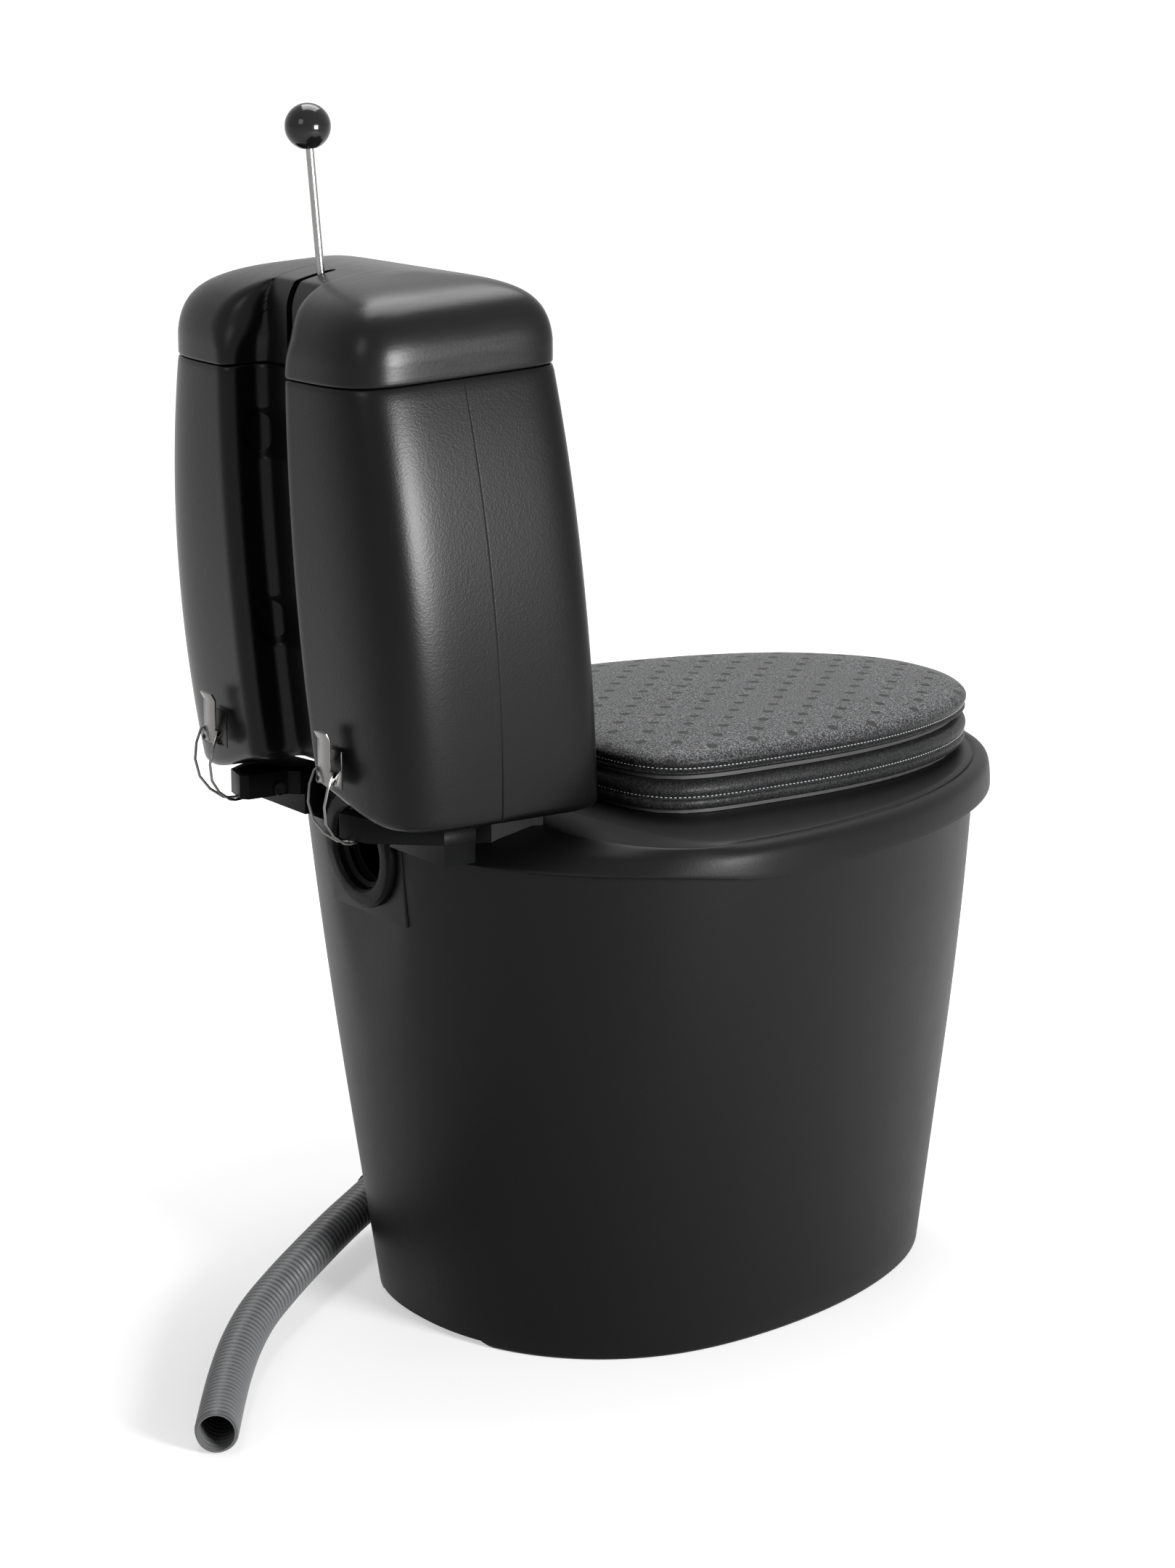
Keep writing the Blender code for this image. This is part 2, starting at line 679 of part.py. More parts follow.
def outer_casing():
    """Tapered tub with a foot radius, a rear arch, the vent tongue and the drain boss."""
    levels = [CASING_FOOT_RADIUS] + [CASING_TOP * share for share in CASING_LEVELS]
    rings = [casing_ring(0, CASING_FOOT_RADIUS, 0)]
    rings += [casing_ring(z) for z in levels]
    rings += [casing_ring(z, CASING_WALL) for z in (CASING_TOP, CASING_TOP * 0.5)]
    rings += [casing_ring(CASING_FLOOR, CASING_WALL)]
    casing = loft("outer_casing", rings, "casing_plastic")

    face, out = drain_frame()[:2]
    boss = cylinder("drain_boss_form", DRAIN_BOSS_RADIUS, face - out * DRAIN_BOSS_DEPTH, face)
    boolean(casing, boss, "UNION")
    reach = DRAIN_BOSS_DEPTH * 3
    drain_hole = cylinder(
        "drain_hole", DRAIN_TUBE_RADIUS + DRAIN_HOLE_GAP, face - out * reach, face + out * CUT_REACH
    )
    boolean(casing, drain_hole)

    vent = vent_matrix()
    top = TONGUE_RISE / math.cos(VENT_PANEL_LEAN)
    root = TONGUE_DROP / math.cos(VENT_PANEL_LEAN)
    wide = TONGUE_HALF_WIDTH
    outline = mirrored([(wide, root), (wide, TONGUE_CORNER - top), (wide - TONGUE_CORNER, -top)])
    tongue = extruded(
        "tongue_form", outline, TONGUE_PROUD - TONGUE_THICKNESS, TONGUE_PROUD, matrix=vent
    )
    boolean(casing, tongue, "UNION")
    reach = VENT_BARREL_LENGTH + CASING_WALL
    hole_radius = VENT_BORE_RADIUS + VENT_BARREL_WALL + CLEARANCE
    hole = cylinder(
        "vent_hole", hole_radius, vent @ Vector((0, 0, -reach)), vent @ Vector((0, 0, reach)), sides=36
    )
    boolean(casing, hole)
    span = BASE_ARCH_HALF_WIDTH
    arch = extruded(
        "base_arch",
        mirrored([(span, -CUT_REACH), (span, 0), (span - BASE_ARCH_SLOPE, BASE_ARCH_HEIGHT)]),
        -BASE_ARCH_REAR_Y,
        -BASE_ARCH_FRONT_Y,
        matrix=UPRIGHT,
    )
    boolean(casing, arch)
    return casing


def vent_collar():
    """Flanged collar with a barrel through the wall and two sealing lips in its bore."""
    barrel = VENT_BORE_RADIUS + VENT_BARREL_WALL
    seat = TONGUE_PROUD + CLEARANCE
    face = seat + VENT_FLANGE_THICKNESS
    edge = VENT_EDGE
    tip = VENT_BORE_RADIUS - VENT_LIP_HEIGHT
    profile = [(VENT_FLANGE_RADIUS, seat), (barrel, seat), (barrel, -VENT_BARREL_LENGTH)]
    profile += [(VENT_BORE_RADIUS, -VENT_BARREL_LENGTH)]
    for depth in sorted(VENT_LIP_DEPTHS, reverse=True):
        profile += [(VENT_BORE_RADIUS, -depth - VENT_LIP_ROOT / 2), (tip, -depth - VENT_LIP_EDGE / 2)]
        profile += [(tip, -depth + VENT_LIP_EDGE / 2), (VENT_BORE_RADIUS, -depth + VENT_LIP_ROOT / 2)]
    profile += [(VENT_BORE_RADIUS, face - edge), (VENT_BORE_RADIUS + edge, face)]
    profile += [(VENT_FLANGE_RADIUS - edge, face), (VENT_FLANGE_RADIUS, face - edge)]
    return revolved("vent_collar", profile, vent_matrix(), "bracket_plastic", steps=24)


def strainer_plate():
    """Perforated false floor on four feet, which keeps solids off the drain."""
    low = STRAINER_HEIGHT
    high = low + STRAINER_THICKNESS
    rings = [casing_ring(low, CASING_WALL + STRAINER_GAP, z) for z in (low, high)]
    plate = loft("strainer_plate", rings, "inner_plastic")
    for side in (-1, 1):
        for y in (STRAINER_FOOT_FRONT_Y, STRAINER_FOOT_REAR_Y):
            foot = cylinder(
                "strainer_foot",
                STRAINER_FOOT_RADIUS,
                (side * STRAINER_FOOT_X, y, CASING_FLOOR + CLEARANCE),
                (side * STRAINER_FOOT_X, y, low + STRAINER_THICKNESS / 2),
                sides=12,
            )
            boolean(plate, foot, "UNION")
    for row in range(STRAINER_HOLE_ROWS):
        for column in range(STRAINER_HOLE_COLUMNS):
            x = (column - (STRAINER_HOLE_COLUMNS - 1) / 2) * STRAINER_HOLE_PITCH
            y = STRAINER_FIRST_HOLE_Y + row * STRAINER_HOLE_PITCH
            hole = cylinder(
                "strainer_hole",
                STRAINER_HOLE_RADIUS,
                (x, y, low - CUT_REACH),
                (x, y, high + CUT_REACH),
                sides=8,
            )
            boolean(plate, hole)
    return plate


def deck_section(half_width, front, rear, rear_power, level, rear_level=None, flat_inset=0.0):
    """One ring of the deck; its rear part can lie at another level, with a smooth change."""
    outline = superellipse(half_width, -front, rear, DECK_CENTRE_Y, CASING_FRONT_POWER, rear_power)
    ring = []
    limit = panel_y(CASING_TOP) - flat_inset
    for x, y in outline:
        share = min(max((y - DECK_RISE_START_Y) / (DECK_RISE_END_Y - DECK_RISE_START_Y), 0.0), 1.0)
        share = share * share * (3 - 2 * share)
        z = level if rear_level is None else lerp(level, rear_level, share)
        ring.append((x, min(y, limit), z))
    return ring


def deck_size():
    """Half width and front reach of the deck's skirt."""
    wide = casing_half_width(CASING_TOP) + DECK_SKIRT_OUTSET
    return wide, DECK_SKIRT_OUTSET - casing_front(CASING_TOP)


def plinth_section(level, grow=0.0):
    """Flat top of the plinth that the seat stands on."""
    wide, front = deck_size()
    return deck_section(
        wide - DECK_RIM_SIDE_INSET - DECK_PLINTH_SIDE - DECK_PLINTH_ROUND + grow,
        front - DECK_RIM_FRONT_INSET - DECK_PLINTH_FRONT - DECK_PLINTH_ROUND + grow,
        DECK_PLINTH_REAR - DECK_PLINTH_ROUND + grow,
        DECK_PLINTH_POWER,
        level + grow,
    )


def deck_outer_rings(grow=0.0):
    """The deck's outer skin from the skirt to the plinth, moved outwards by a clearance."""
    wide, front = (size + grow for size in deck_size())
    rear = DECK_REAR_Y + grow
    top = DECK_RIM_TOP + grow
    seam = SEAM_HEIGHT - grow
    edge = DECK_SKIRT_EDGE
    rings = [
        deck_section(
            wide - edge,
            front - edge,
            rear - edge,
            DECK_REAR_POWER,
            DECK_SKIRT_BOTTOM,
            seam,
            edge / 2 - grow,
        ),
        deck_section(wide, front, rear, DECK_REAR_POWER, DECK_SKIRT_BOTTOM + edge, seam + edge, -grow),
    ]
    for side, drop, rear_inset, rear_drop, power in DECK_ROLL:
        rings.append(
            deck_section(
                wide - side,
                front - side,
                rear - rear_inset,
                power,
                top - drop,
                top - rear_drop,
                -grow,
            )
        )
    rim = (wide - DECK_RIM_SIDE_INSET, front - DECK_RIM_FRONT_INSET, DECK_RIM_REAR + grow)
    shelf = (rim[0] - DECK_SHELF_SIDE, rim[1] - DECK_SHELF_FRONT, rim[2] - DECK_SHELF_REAR)
    plinth = (rim[0] - DECK_PLINTH_SIDE, rim[1] - DECK_PLINTH_FRONT, DECK_PLINTH_REAR + grow)
    return rings + [
        deck_section(*rim, DECK_RIM_POWER, top),
        deck_section(*shelf, DECK_RIM_POWER, top - DECK_SHELF_DROP),
        deck_section(*plinth, DECK_PLINTH_POWER, DECK_PLINTH - DECK_PLINTH_EDGE + grow),
        plinth_section(DECK_PLINTH, grow),
    ]


def deck_envelope():
    """The deck's outer shape with a clearance, filled down to a flat bottom, as a cutter."""
    rings = deck_outer_rings(CLEARANCE)
    low = [(point[0], point[1], CASING_TOP - SHAPE_MARGIN * 2) for point in rings[0]]
    return loft("deck_envelope", [low] + rings)


def seat_hole_ring(level, grow=0.0, count=RING_POINTS):
    """Oval of the seat opening."""
    long = SEAT_HOLE_HALF_LENGTH + grow
    outline = superellipse(
        SEAT_HOLE_HALF_WIDTH + grow,
        SEAT_HOLE_Y - long,
        SEAT_HOLE_Y + long,
        SEAT_HOLE_Y,
        SEAT_HOLE_POWER,
        SEAT_HOLE_POWER,
        count,
    )
    return [(x, y, level) for x, y in outline]


def deck_inner_rings(under):
    """The deck's inner skin from under the plinth to the rim's ledge and the skirt's inside."""
    wide, front = deck_size()
    rear = DECK_REAR_Y
    wall = DECK_WALL
    ledge = CASING_WALL + DECK_SKIRT_OUTSET + DECK_LEDGE
    inside = (wide - ledge, front - ledge)
    top = DECK_RIM_TOP - wall
    rings = [plinth_section(under)]
    for (drop, inset), roll in zip(reversed(DECK_ROLL_INSIDE), reversed(DECK_ROLL)):
        rings.append(deck_section(*inside, rear - inset, roll[4], under - drop, top - roll[3]))
    seam = (DECK_REAR_POWER, SEAM_HEIGHT, SEAM_HEIGHT)
    inner_rear = rear - wall - DECK_SKIRT_EDGE
    inner_edge = DECK_SKIRT_BOTTOM, SEAM_HEIGHT
    rings += [
        deck_section(*inside, inner_rear - DECK_SEAM_WIDTH, *seam, wall + DECK_LEDGE),
        deck_section(wide - wall, front - wall, inner_rear, *seam, wall),
        deck_section(
            wide - wall, front - wall, rear - wall, DECK_REAR_POWER, *inner_edge, wall - DECK_SKIRT_EDGE
        ),
    ]
    return rings


def seat_deck():
    """Cover with a rolled rim and skirt, a sloping rear shoulder and a raised plinth."""
    under = DECK_SHELF - DECK_WALL
    hole = [seat_hole_ring(level, DECK_HOLE_MARGIN) for level in (DECK_PLINTH, under)]
    rings = deck_outer_rings() + hole + deck_inner_rings(under)
    deck = loft("seat_deck", rings, "casing_plastic", closed=True)
    gap = TONGUE_HALF_WIDTH + NOTCH_GAP
    notch_front = panel_y(CASING_TOP) - VENT_BARREL_LENGTH - NOTCH_GAP
    notch = box(
        "tongue_notch",
        (-gap, notch_front, CASING_TOP - SHAPE_MARGIN),
        (gap, DECK_REAR_Y + SHAPE_MARGIN, DECK_PLINTH + SHAPE_MARGIN),
    )
    boolean(deck, notch)
    outlet = box(
        "deck_outlet",
        (-OUTLET_HALF_WIDTH - OUTLET_MARGIN, OUTLET_FRONT_Y - OUTLET_MARGIN, DECK_SKIRT_BOTTOM),
        (OUTLET_HALF_WIDTH + OUTLET_MARGIN, OUTLET_REAR_Y + OUTLET_MARGIN, DECK_PLINTH + SHAPE_MARGIN),
    )
    boolean(deck, outlet)
    return deck


def splash_guard():
    """Flanged sleeve that hangs under the seat opening."""
    top = DECK_SHELF - DECK_WALL - CLEARANCE
    flange = DECK_HOLE_MARGIN + GUARD_FLANGE
    rings = [
        seat_hole_ring(top, flange, SMALL_RING_POINTS),
        seat_hole_ring(top - GUARD_WALL, flange, SMALL_RING_POINTS),
        seat_hole_ring(top - GUARD_WALL, DECK_HOLE_MARGIN, SMALL_RING_POINTS),
        seat_hole_ring(GUARD_BOTTOM, GUARD_WALL - GUARD_TAPER, SMALL_RING_POINTS),
        seat_hole_ring(GUARD_BOTTOM, -GUARD_TAPER, SMALL_RING_POINTS),
        seat_hole_ring(top, DECK_HOLE_MARGIN - GUARD_WALL, SMALL_RING_POINTS),
    ]
    return loft("splash_guard", rings, "inner_plastic", closed=True)


def seat_outline(level, inset=0.0):
    """D-shaped outline of the seat at a level."""
    outline = superellipse(
        SEAT_HALF_WIDTH - inset,
        SEAT_FRONT_Y + inset,
        SEAT_REAR_Y - inset,
        SEAT_CENTRE_Y,
        SEAT_FRONT_POWER,
        SEAT_REAR_POWER,
    )
    return [(x, y, level) for x, y in outline]


def seat_ring_board():
    """Stiff ring under the padded seat."""
    low, high = RING_BOARD_BOTTOM, RING_BOARD_BOTTOM + SEAT_BOARD_THICKNESS
    rings = [
        seat_outline(low, SEAT_BOARD_INSET),
        seat_outline(high, SEAT_BOARD_INSET),
        seat_hole_ring(high, SEAT_BOARD_INSET),
        seat_hole_ring(low, SEAT_BOARD_INSET),
    ]
    return loft("seat_ring_board", rings, "board", closed=True)


def seat_ring_cushion():
    """Padded ring: sides drawn in at the seam, rounded into the opening."""
    low, high = RING_CUSHION_BOTTOM, RING_CUSHION_TOP
    mid = lerp(low, high, RING_SEAM_SHARE)
    rings = [
        seat_outline(low, CUSHION_FOOT_INSET),
        seat_outline(low + CUSHION_FOOT_RISE, CUSHION_BELLY),
        seat_outline(mid, CUSHION_PINCH),
    ]
    rings += [seat_outline(high - drop, inset) for drop, inset in RING_EDGE]
    rings += [seat_hole_ring(high - drop, grow) for drop, grow in RING_HOLE_EDGE]
    rings += [seat_hole_ring(low, RING_HOLE_FOOT)]
    return loft("seat_ring_cushion", rings, "upholstery", closed=True)


def hinge_knuckle(side):
    """Span of one hinge's knuckle along X."""
    half = HINGE_KNUCKLE_WIDTH / 2
    return side * HINGE_X - half, side * HINGE_X + half


def seat_lid_board():
    """Stiff lid board with its two hinge knuckles."""
    low, high = LID_BOARD_BOTTOM, LID_BOARD_BOTTOM + SEAT_BOARD_THICKNESS
    rings = [seat_outline(z, SEAT_BOARD_INSET) for z in (low, high)]
    board = loft("seat_lid_board", rings, "board")
    for side, label in ((1, "right"), (-1, "left")):
        left, right = hinge_knuckle(side)
        tab = box(
            "lid_tab_" + label,
            (left, SEAT_REAR_Y - SEAT_BOARD_INSET - HINGE_TAB_LAP, low + CLEARANCE),
            (right, HINGE_Y, high - CLEARANCE),
        )
        knuckle = cylinder(
            "lid_knuckle_" + label,
            HINGE_KNUCKLE_RADIUS,
            (left - CLEARANCE / 3, HINGE_Y, HINGE_Z),
            (right + CLEARANCE / 3, HINGE_Y, HINGE_Z),
            sides=20,
        )
        bore = cylinder(
            "lid_bore_" + label,
            HINGE_PIN_RADIUS + CLEARANCE,
            (left - CUT_REACH, HINGE_Y, HINGE_Z),
            (right + CUT_REACH, HINGE_Y, HINGE_Z),
            sides=16,
        )
        boolean(board, tab, "UNION")
        boolean(board, knuckle, "UNION")
        boolean(board, bore)
    return board


def seat_lid_cushion():
    """Padded lid with a crown and sides drawn in at the topstitched seam."""
    low, high = LID_CUSHION_BOTTOM, LID_CUSHION_TOP
    side = lerp(LID_STITCH_HEIGHT, LID_EDGE_HEIGHT, LID_SIDE_SHARE)
    rings = [
        seat_outline(low, CUSHION_FOOT_INSET),
        seat_outline(low + CUSHION_FOOT_RISE, CUSHION_BELLY),
        seat_outline(LID_STITCH_HEIGHT, CUSHION_PINCH),
        seat_outline(side, 0.0),
        seat_outline(LID_EDGE_HEIGHT, LID_EDGE_INSET),
    ]
    rings += [seat_outline(high - drop, inset) for drop, inset in (LID_EDGE_ROUND, *LID_CROWN)]
    return loft("seat_lid_cushion", rings, "upholstery")


def seat_hinge(side, label):
    """Fixed hinge block on the deck and its pin."""
    left, right = hinge_knuckle(side)
    gap = CLEARANCE
    cheek = HINGE_CHEEK_THICKNESS
    depth = HINGE_BASE_DEPTH / 2
    low = DECK_PLINTH + CLEARANCE
    block = box(
        "seat_hinge_base_" + label,
        (left - gap - cheek, HINGE_Y - depth, low),
        (right + gap + cheek, HINGE_Y + depth, HINGE_Z + HINGE_KNUCKLE_RADIUS + HINGE_CHEEK_RISE),
        "casing_plastic",
    )
    slot = box(
        "hinge_slot_" + label,
        (left - gap, HINGE_Y - SHAPE_MARGIN, HINGE_Z - HINGE_KNUCKLE_RADIUS - HINGE_SLOT_GAP),
        (right + gap, HINGE_Y + SHAPE_MARGIN, HINGE_Z + SHAPE_MARGIN),
    )
    bore = cylinder(
        "hinge_bore_" + label,
        HINGE_PIN_RADIUS + CLEARANCE,
        (left - cheek - CUT_REACH, HINGE_Y, HINGE_Z),
        (right + cheek + CUT_REACH, HINGE_Y, HINGE_Z),
        sides=16,
    )
    boolean(block, slot)
    boolean(block, bore)
    pin = cylinder(
        "seat_hinge_pin_" + label,
        HINGE_PIN_RADIUS,
        (left - gap - cheek, HINGE_Y, HINGE_Z),
        (right + gap + cheek, HINGE_Y, HINGE_Z),
        "stainless_steel",
        sides=16,
    )
    return block, pin


def seam_z(y):
    """Height of the plane between hopper and lid."""
    return HOPPER_SEAM_Z + (HOPPER_SEAM_Y - y) * math.tan(HOPPER_SEAM_TILT)


def hopper_share(z):
    return (z - HOPPER_BOTTOM) / (HOPPER_SEAM_Z - HOPPER_BOTTOM)


def hopper_size(z):
    """Half width, front y and rear y of the hopper's outside at a height."""
    share = hopper_share(z)
    bulge = 4 * share * (1 - share)
    return (
        lerp(HOPPER_BOTTOM_HALF_WIDTH, HOPPER_SEAM_HALF_WIDTH, share) + HOPPER_SIDE_BULGE * bulge,
        lerp(HOPPER_BOTTOM_FRONT_Y, HOPPER_SEAM_FRONT_Y, share),
        lerp(HOPPER_BOTTOM_REAR_Y, HOPPER_SEAM_REAR_Y, share) + HOPPER_REAR_BULGE * bulge,
    )


def grooved_outline(half_width, front, rear, channel_floor, channel_half):
    """Section with a vertical channel in its rear: rounded inside corners and rounded lips."""
    centre = (front + rear) / 2
    reach = (rear - front) / 2
    depth = max(rear - channel_floor, LEAST_CHANNEL)
    floor = rear - depth
    corner = min(CHANNEL_CORNER_RADIUS, depth * 0.45)
    lip = min(CHANNEL_LIP_RADIUS, depth * 0.5)
    lip_x = channel_half + lip
    lip_y = centre + reach * (1 - (lip_x / half_width) ** HOPPER_REAR_POWER) ** (1 / HOPPER_REAR_POWER)
    half = [(0.0, floor), (channel_half - corner, floor)]
    for degrees in CHANNEL_CORNER_ANGLES:
        angle = math.radians(degrees)
        half.append(
            (channel_half - corner + corner * math.cos(angle), floor + corner + corner * math.sin(angle))
        )
    for degrees in CHANNEL_LIP_ANGLES:
        angle = math.radians(degrees)
        half.append((lip_x + lip * math.cos(angle), lip_y - lip + lip * math.sin(angle)))
    start = math.atan2((lip_y - centre) / reach, lip_x / half_width)
    for i in range(1, SECTION_STEPS + 1):
        angle = lerp(start, -math.pi / 2, i / SECTION_STEPS)
        c, s = math.cos(angle), math.sin(angle)
        power = HOPPER_REAR_POWER if s >= 0 else HOPPER_FRONT_POWER
        scale = (abs(c) ** power + abs(s) ** power) ** (-1 / power)
        half.append((half_width * c * scale, centre + reach * s * scale))
    return half + [(-x, y) for x, y in reversed(half[1:-1])]


def hopper_ring(z, inset=0.0, seam=None):
    """Hopper section at a height, or at an offset from the seam plane."""
    half_width, front, rear = hopper_size(z)
    channel_floor = rear - CHANNEL_DEPTH - inset
    outline = grooved_outline(
        half_width - inset, front + inset, rear - inset, channel_floor, CHANNEL_HALF_WIDTH + inset
    )
    return [(x, y, z if seam is None else seam_z(y) + seam) for x, y in outline]


def funnel_ring(z, half_width, front, rear):
    """Section of the hopper's inside below the channel."""
    return [(x, y, z) for x, y in grooved_outline(half_width, front, rear, rear, CHANNEL_HALF_WIDTH)]


def recess_block(height):
    """U-shaped thickening round the channel, with its inner faces within the wall."""
    rings = []
    for z in (height - RECESS_BLOCK_HALF_HEIGHT, height + RECESS_BLOCK_HALF_HEIGHT):
        rear = hopper_size(z)[2]
        inner = CHANNEL_HALF_WIDTH + HOPPER_WALL / 2
        outer = CHANNEL_HALF_WIDTH + STRAP_RECESS_DEPTH + HOPPER_WALL
        mouth = rear - CHANNEL_LIP_RADIUS
        floor = rear - CHANNEL_DEPTH - HOPPER_WALL / 2
        back = rear - CHANNEL_DEPTH - STRAP_RECESS_FLOOR - HOPPER_WALL
        outline = [(-outer, mouth), (-outer, back), (outer, back), (outer, mouth)]
        outline += [(inner, mouth), (inner, floor), (-inner, floor), (-inner, mouth)]
        rings.append([(x, y, z) for x, y in outline])
    return loft("recess_block", rings)


def strap_recess(height):
    """Round-ended slot across the channel that cuts into its side walls and floor."""
    rear = hopper_size(height)[2] - STRAP_RECESS_REAR
    front = hopper_size(height)[2] - CHANNEL_DEPTH - STRAP_RECESS_FLOOR
    half = STRAP_RECESS_HALF_HEIGHT
    outline = [(front, height + half), (front, height - half)]
    outline += arc_points(half, -math.pi / 2, math.pi / 2, RECESS_END_STEPS, (rear - half, height))
    reach = CHANNEL_HALF_WIDTH + STRAP_RECESS_DEPTH
    return extruded("strap_recess", outline, -reach, reach, matrix=X_TO_SIDE)


def hopper_tank():
    """Blow-moulded hopper: leaning walls, rear channel, strap recesses, tunnel and outlet."""
    top = HOPPER_SEAM_Z
    edge = HOPPER_EDGE * HOPPER_EDGE_SHARE
    rings = [hopper_ring(HOPPER_BOTTOM, HOPPER_EDGE), hopper_ring(HOPPER_BOTTOM + edge, edge)]
    rings += [hopper_ring(HOPPER_BOTTOM + HOPPER_EDGE)]
    middle = [lerp(HOPPER_BOTTOM, top, share) for share in HOPPER_LEVELS]
    rings += [hopper_ring(z) for z in middle]
    rings += [hopper_ring(top, 0.0, -SEAM_CHAMFER_DEPTH)]
    rings += [hopper_ring(top, inset, -CLEARANCE / 2) for inset in (SEAM_CHAMFER, HOPPER_WALL)]
    rings += [hopper_ring(z, HOPPER_WALL) for z in reversed(middle[1:])]
    rings += [hopper_ring(FUNNEL_TOP, HOPPER_WALL)]
    rings += [funnel_ring(HOPPER_BOTTOM + rise, *size) for rise, *size in FUNNEL]
    tank = loft("hopper_tank", rings, "hopper_plastic")
    foot = TUNNEL_FOOT_HALF_WIDTH
    tunnel_outline = [(foot, HOPPER_BOTTOM - SHAPE_MARGIN), (foot, HOPPER_BOTTOM)]
    tunnel_outline += [(TUNNEL_TOP_HALF_WIDTH, HOPPER_BOTTOM + TUNNEL_RISE)]
    tunnel = extruded(
        "vent_tunnel", mirrored(tunnel_outline), -TUNNEL_REAR_Y, -TUNNEL_FRONT_Y, matrix=UPRIGHT
    )
    boolean(tank, tunnel)
    outlet = box(
        "hopper_outlet",
        (-OUTLET_HALF_WIDTH, OUTLET_FRONT_Y, HOPPER_BOTTOM - SHAPE_MARGIN),
        (OUTLET_HALF_WIDTH, OUTLET_REAR_Y, HOPPER_BOTTOM + SHAPE_MARGIN),
    )
    boolean(tank, outlet)
    for rise in STRAP_RECESS_RISES:
        boolean(tank, recess_block(HOPPER_BOTTOM + rise), "UNION")
        boolean(tank, strap_recess(HOPPER_BOTTOM + rise))
    return tank


def hopper_lid():
    """Domed lid whose channel runs out at the top, with a slot for the lever and a locating lip."""
    half_width, front, rear = hopper_size(HOPPER_SEAM_Z)
    channel_floor = rear - CHANNEL_DEPTH

    def dome_ring(inset, height, wall=0.0):
        outline = grooved_outline(
            half_width - inset - wall,
            front + inset + wall,
            rear - inset - wall,
            channel_floor - wall,
            CHANNEL_HALF_WIDTH + wall,
        )
        return [(x, y, seam_z(y) + height) for x, y in outline]

    lip = HOPPER_WALL + LID_LIP_GAP
    rings = [dome_ring(LID_CROWN_INSET, LID_CROWN_HEIGHT)]
    rings += [dome_ring(inset, height) for inset, height in reversed(LID_DOME)]
    rings += [dome_ring(0, CLEARANCE / 2, SEAM_CHAMFER), dome_ring(0, CLEARANCE / 2, lip)]
    rings += [dome_ring(0, -LID_LIP_DEPTH, lip + thick) for thick in (LID_LIP_DRAFT, LID_WALL)]
    rings += [dome_ring(0, LID_LIP_DEPTH, lip + LID_WALL)]
    inside = LID_WALL + LID_INSIDE_MARGIN
    rings += [dome_ring(inset, height - LID_WALL, inside) for inset, height in LID_DOME[1::2]]
    rings += [dome_ring(LID_CROWN_INSET, LID_CROWN_HEIGHT - LID_WALL, LID_WALL)]
    lid = loft("hopper_lid", rings, "lid_plastic")
    slot_top = HOPPER_SEAM_Z + LID_CROWN_HEIGHT + LID_LIP_DEPTH + SHAPE_MARGIN * 2
    slot = box(
        "lever_slot",
        (-SLOT_HALF_WIDTH, SLOT_FRONT_Y, HOPPER_SEAM_Z - SHAPE_MARGIN),
        (SLOT_HALF_WIDTH, rear + SHAPE_MARGIN, slot_top),
    )
    slot_end = cylinder(
        "lever_slot_end",
        SLOT_HALF_WIDTH,
        (0, SLOT_FRONT_Y, HOPPER_SEAM_Z + SHAPE_MARGIN),
        (0, SLOT_FRONT_Y, slot_top),
        sides=16,
    )
    boolean(lid, slot)
    boolean(lid, slot_end)
    return lid


def bush_wall_x():
    """Distance from the centre to the hopper's inner wall at the top rear of a shaft bush."""
    above = lerp(HOPPER_BOTTOM, HOPPER_SEAM_Z, HOPPER_LEVELS[1])
    level = (PIVOT_Z + BUSH_RADIUS - FUNNEL_TOP) / (above - FUNNEL_TOP)
    sizes = zip(hopper_size(FUNNEL_TOP), hopper_size(above))
    half_width, front, rear = (lerp(low, high, level) for low, high in sizes)
    share = abs(PIVOT_Y + BUSH_RADIUS - (front + rear) / 2) / ((rear - front) / 2 - HOPPER_WALL)
    return (half_width - HOPPER_WALL) * (1 - share**HOPPER_REAR_POWER) ** (1 / HOPPER_REAR_POWER)


def pivot_point(x=0.0):
    return Vector((x, PIVOT_Y, PIVOT_Z))


def knob_and_rod():
    """Ball knob with its socket, and the rod that leans from the pivot to it."""
    pivot = pivot_point()
    knob_centre = Vector((0, KNOB_Y, KNOB_Z))
    along = (knob_centre - pivot).normalized()
    rod_foot = pivot + along * (SHAFT_RADIUS + HUB_WALL)
    rod_top = knob_centre - along * KNOB_RADIUS * KNOB_SOCKET_SHARE
    rod = cylinder("lever_rod", ROD_RADIUS, rod_foot, rod_top, "stainless_steel", sides=16)

    grid = bmesh.new()
    bmesh.ops.create_uvsphere(grid, u_segments=18, v_segments=10, radius=KNOB_RADIUS)
    stand = Matrix.Translation(knob_centre) @ along.to_track_quat("Z", "Y").to_matrix().to_4x4()
    knob = place("lever_knob", mesh_from("lever_knob", grid), "ball_plastic", stand)
    socket = cylinder(
        "knob_socket",
        ROD_RADIUS + CLEARANCE,
        rod_top + along * CLEARANCE,
        knob_centre - along * (KNOB_RADIUS + CUT_REACH),
        sides=16,
    )
    boolean(knob, socket)
    return rod, knob, rod_foot, along


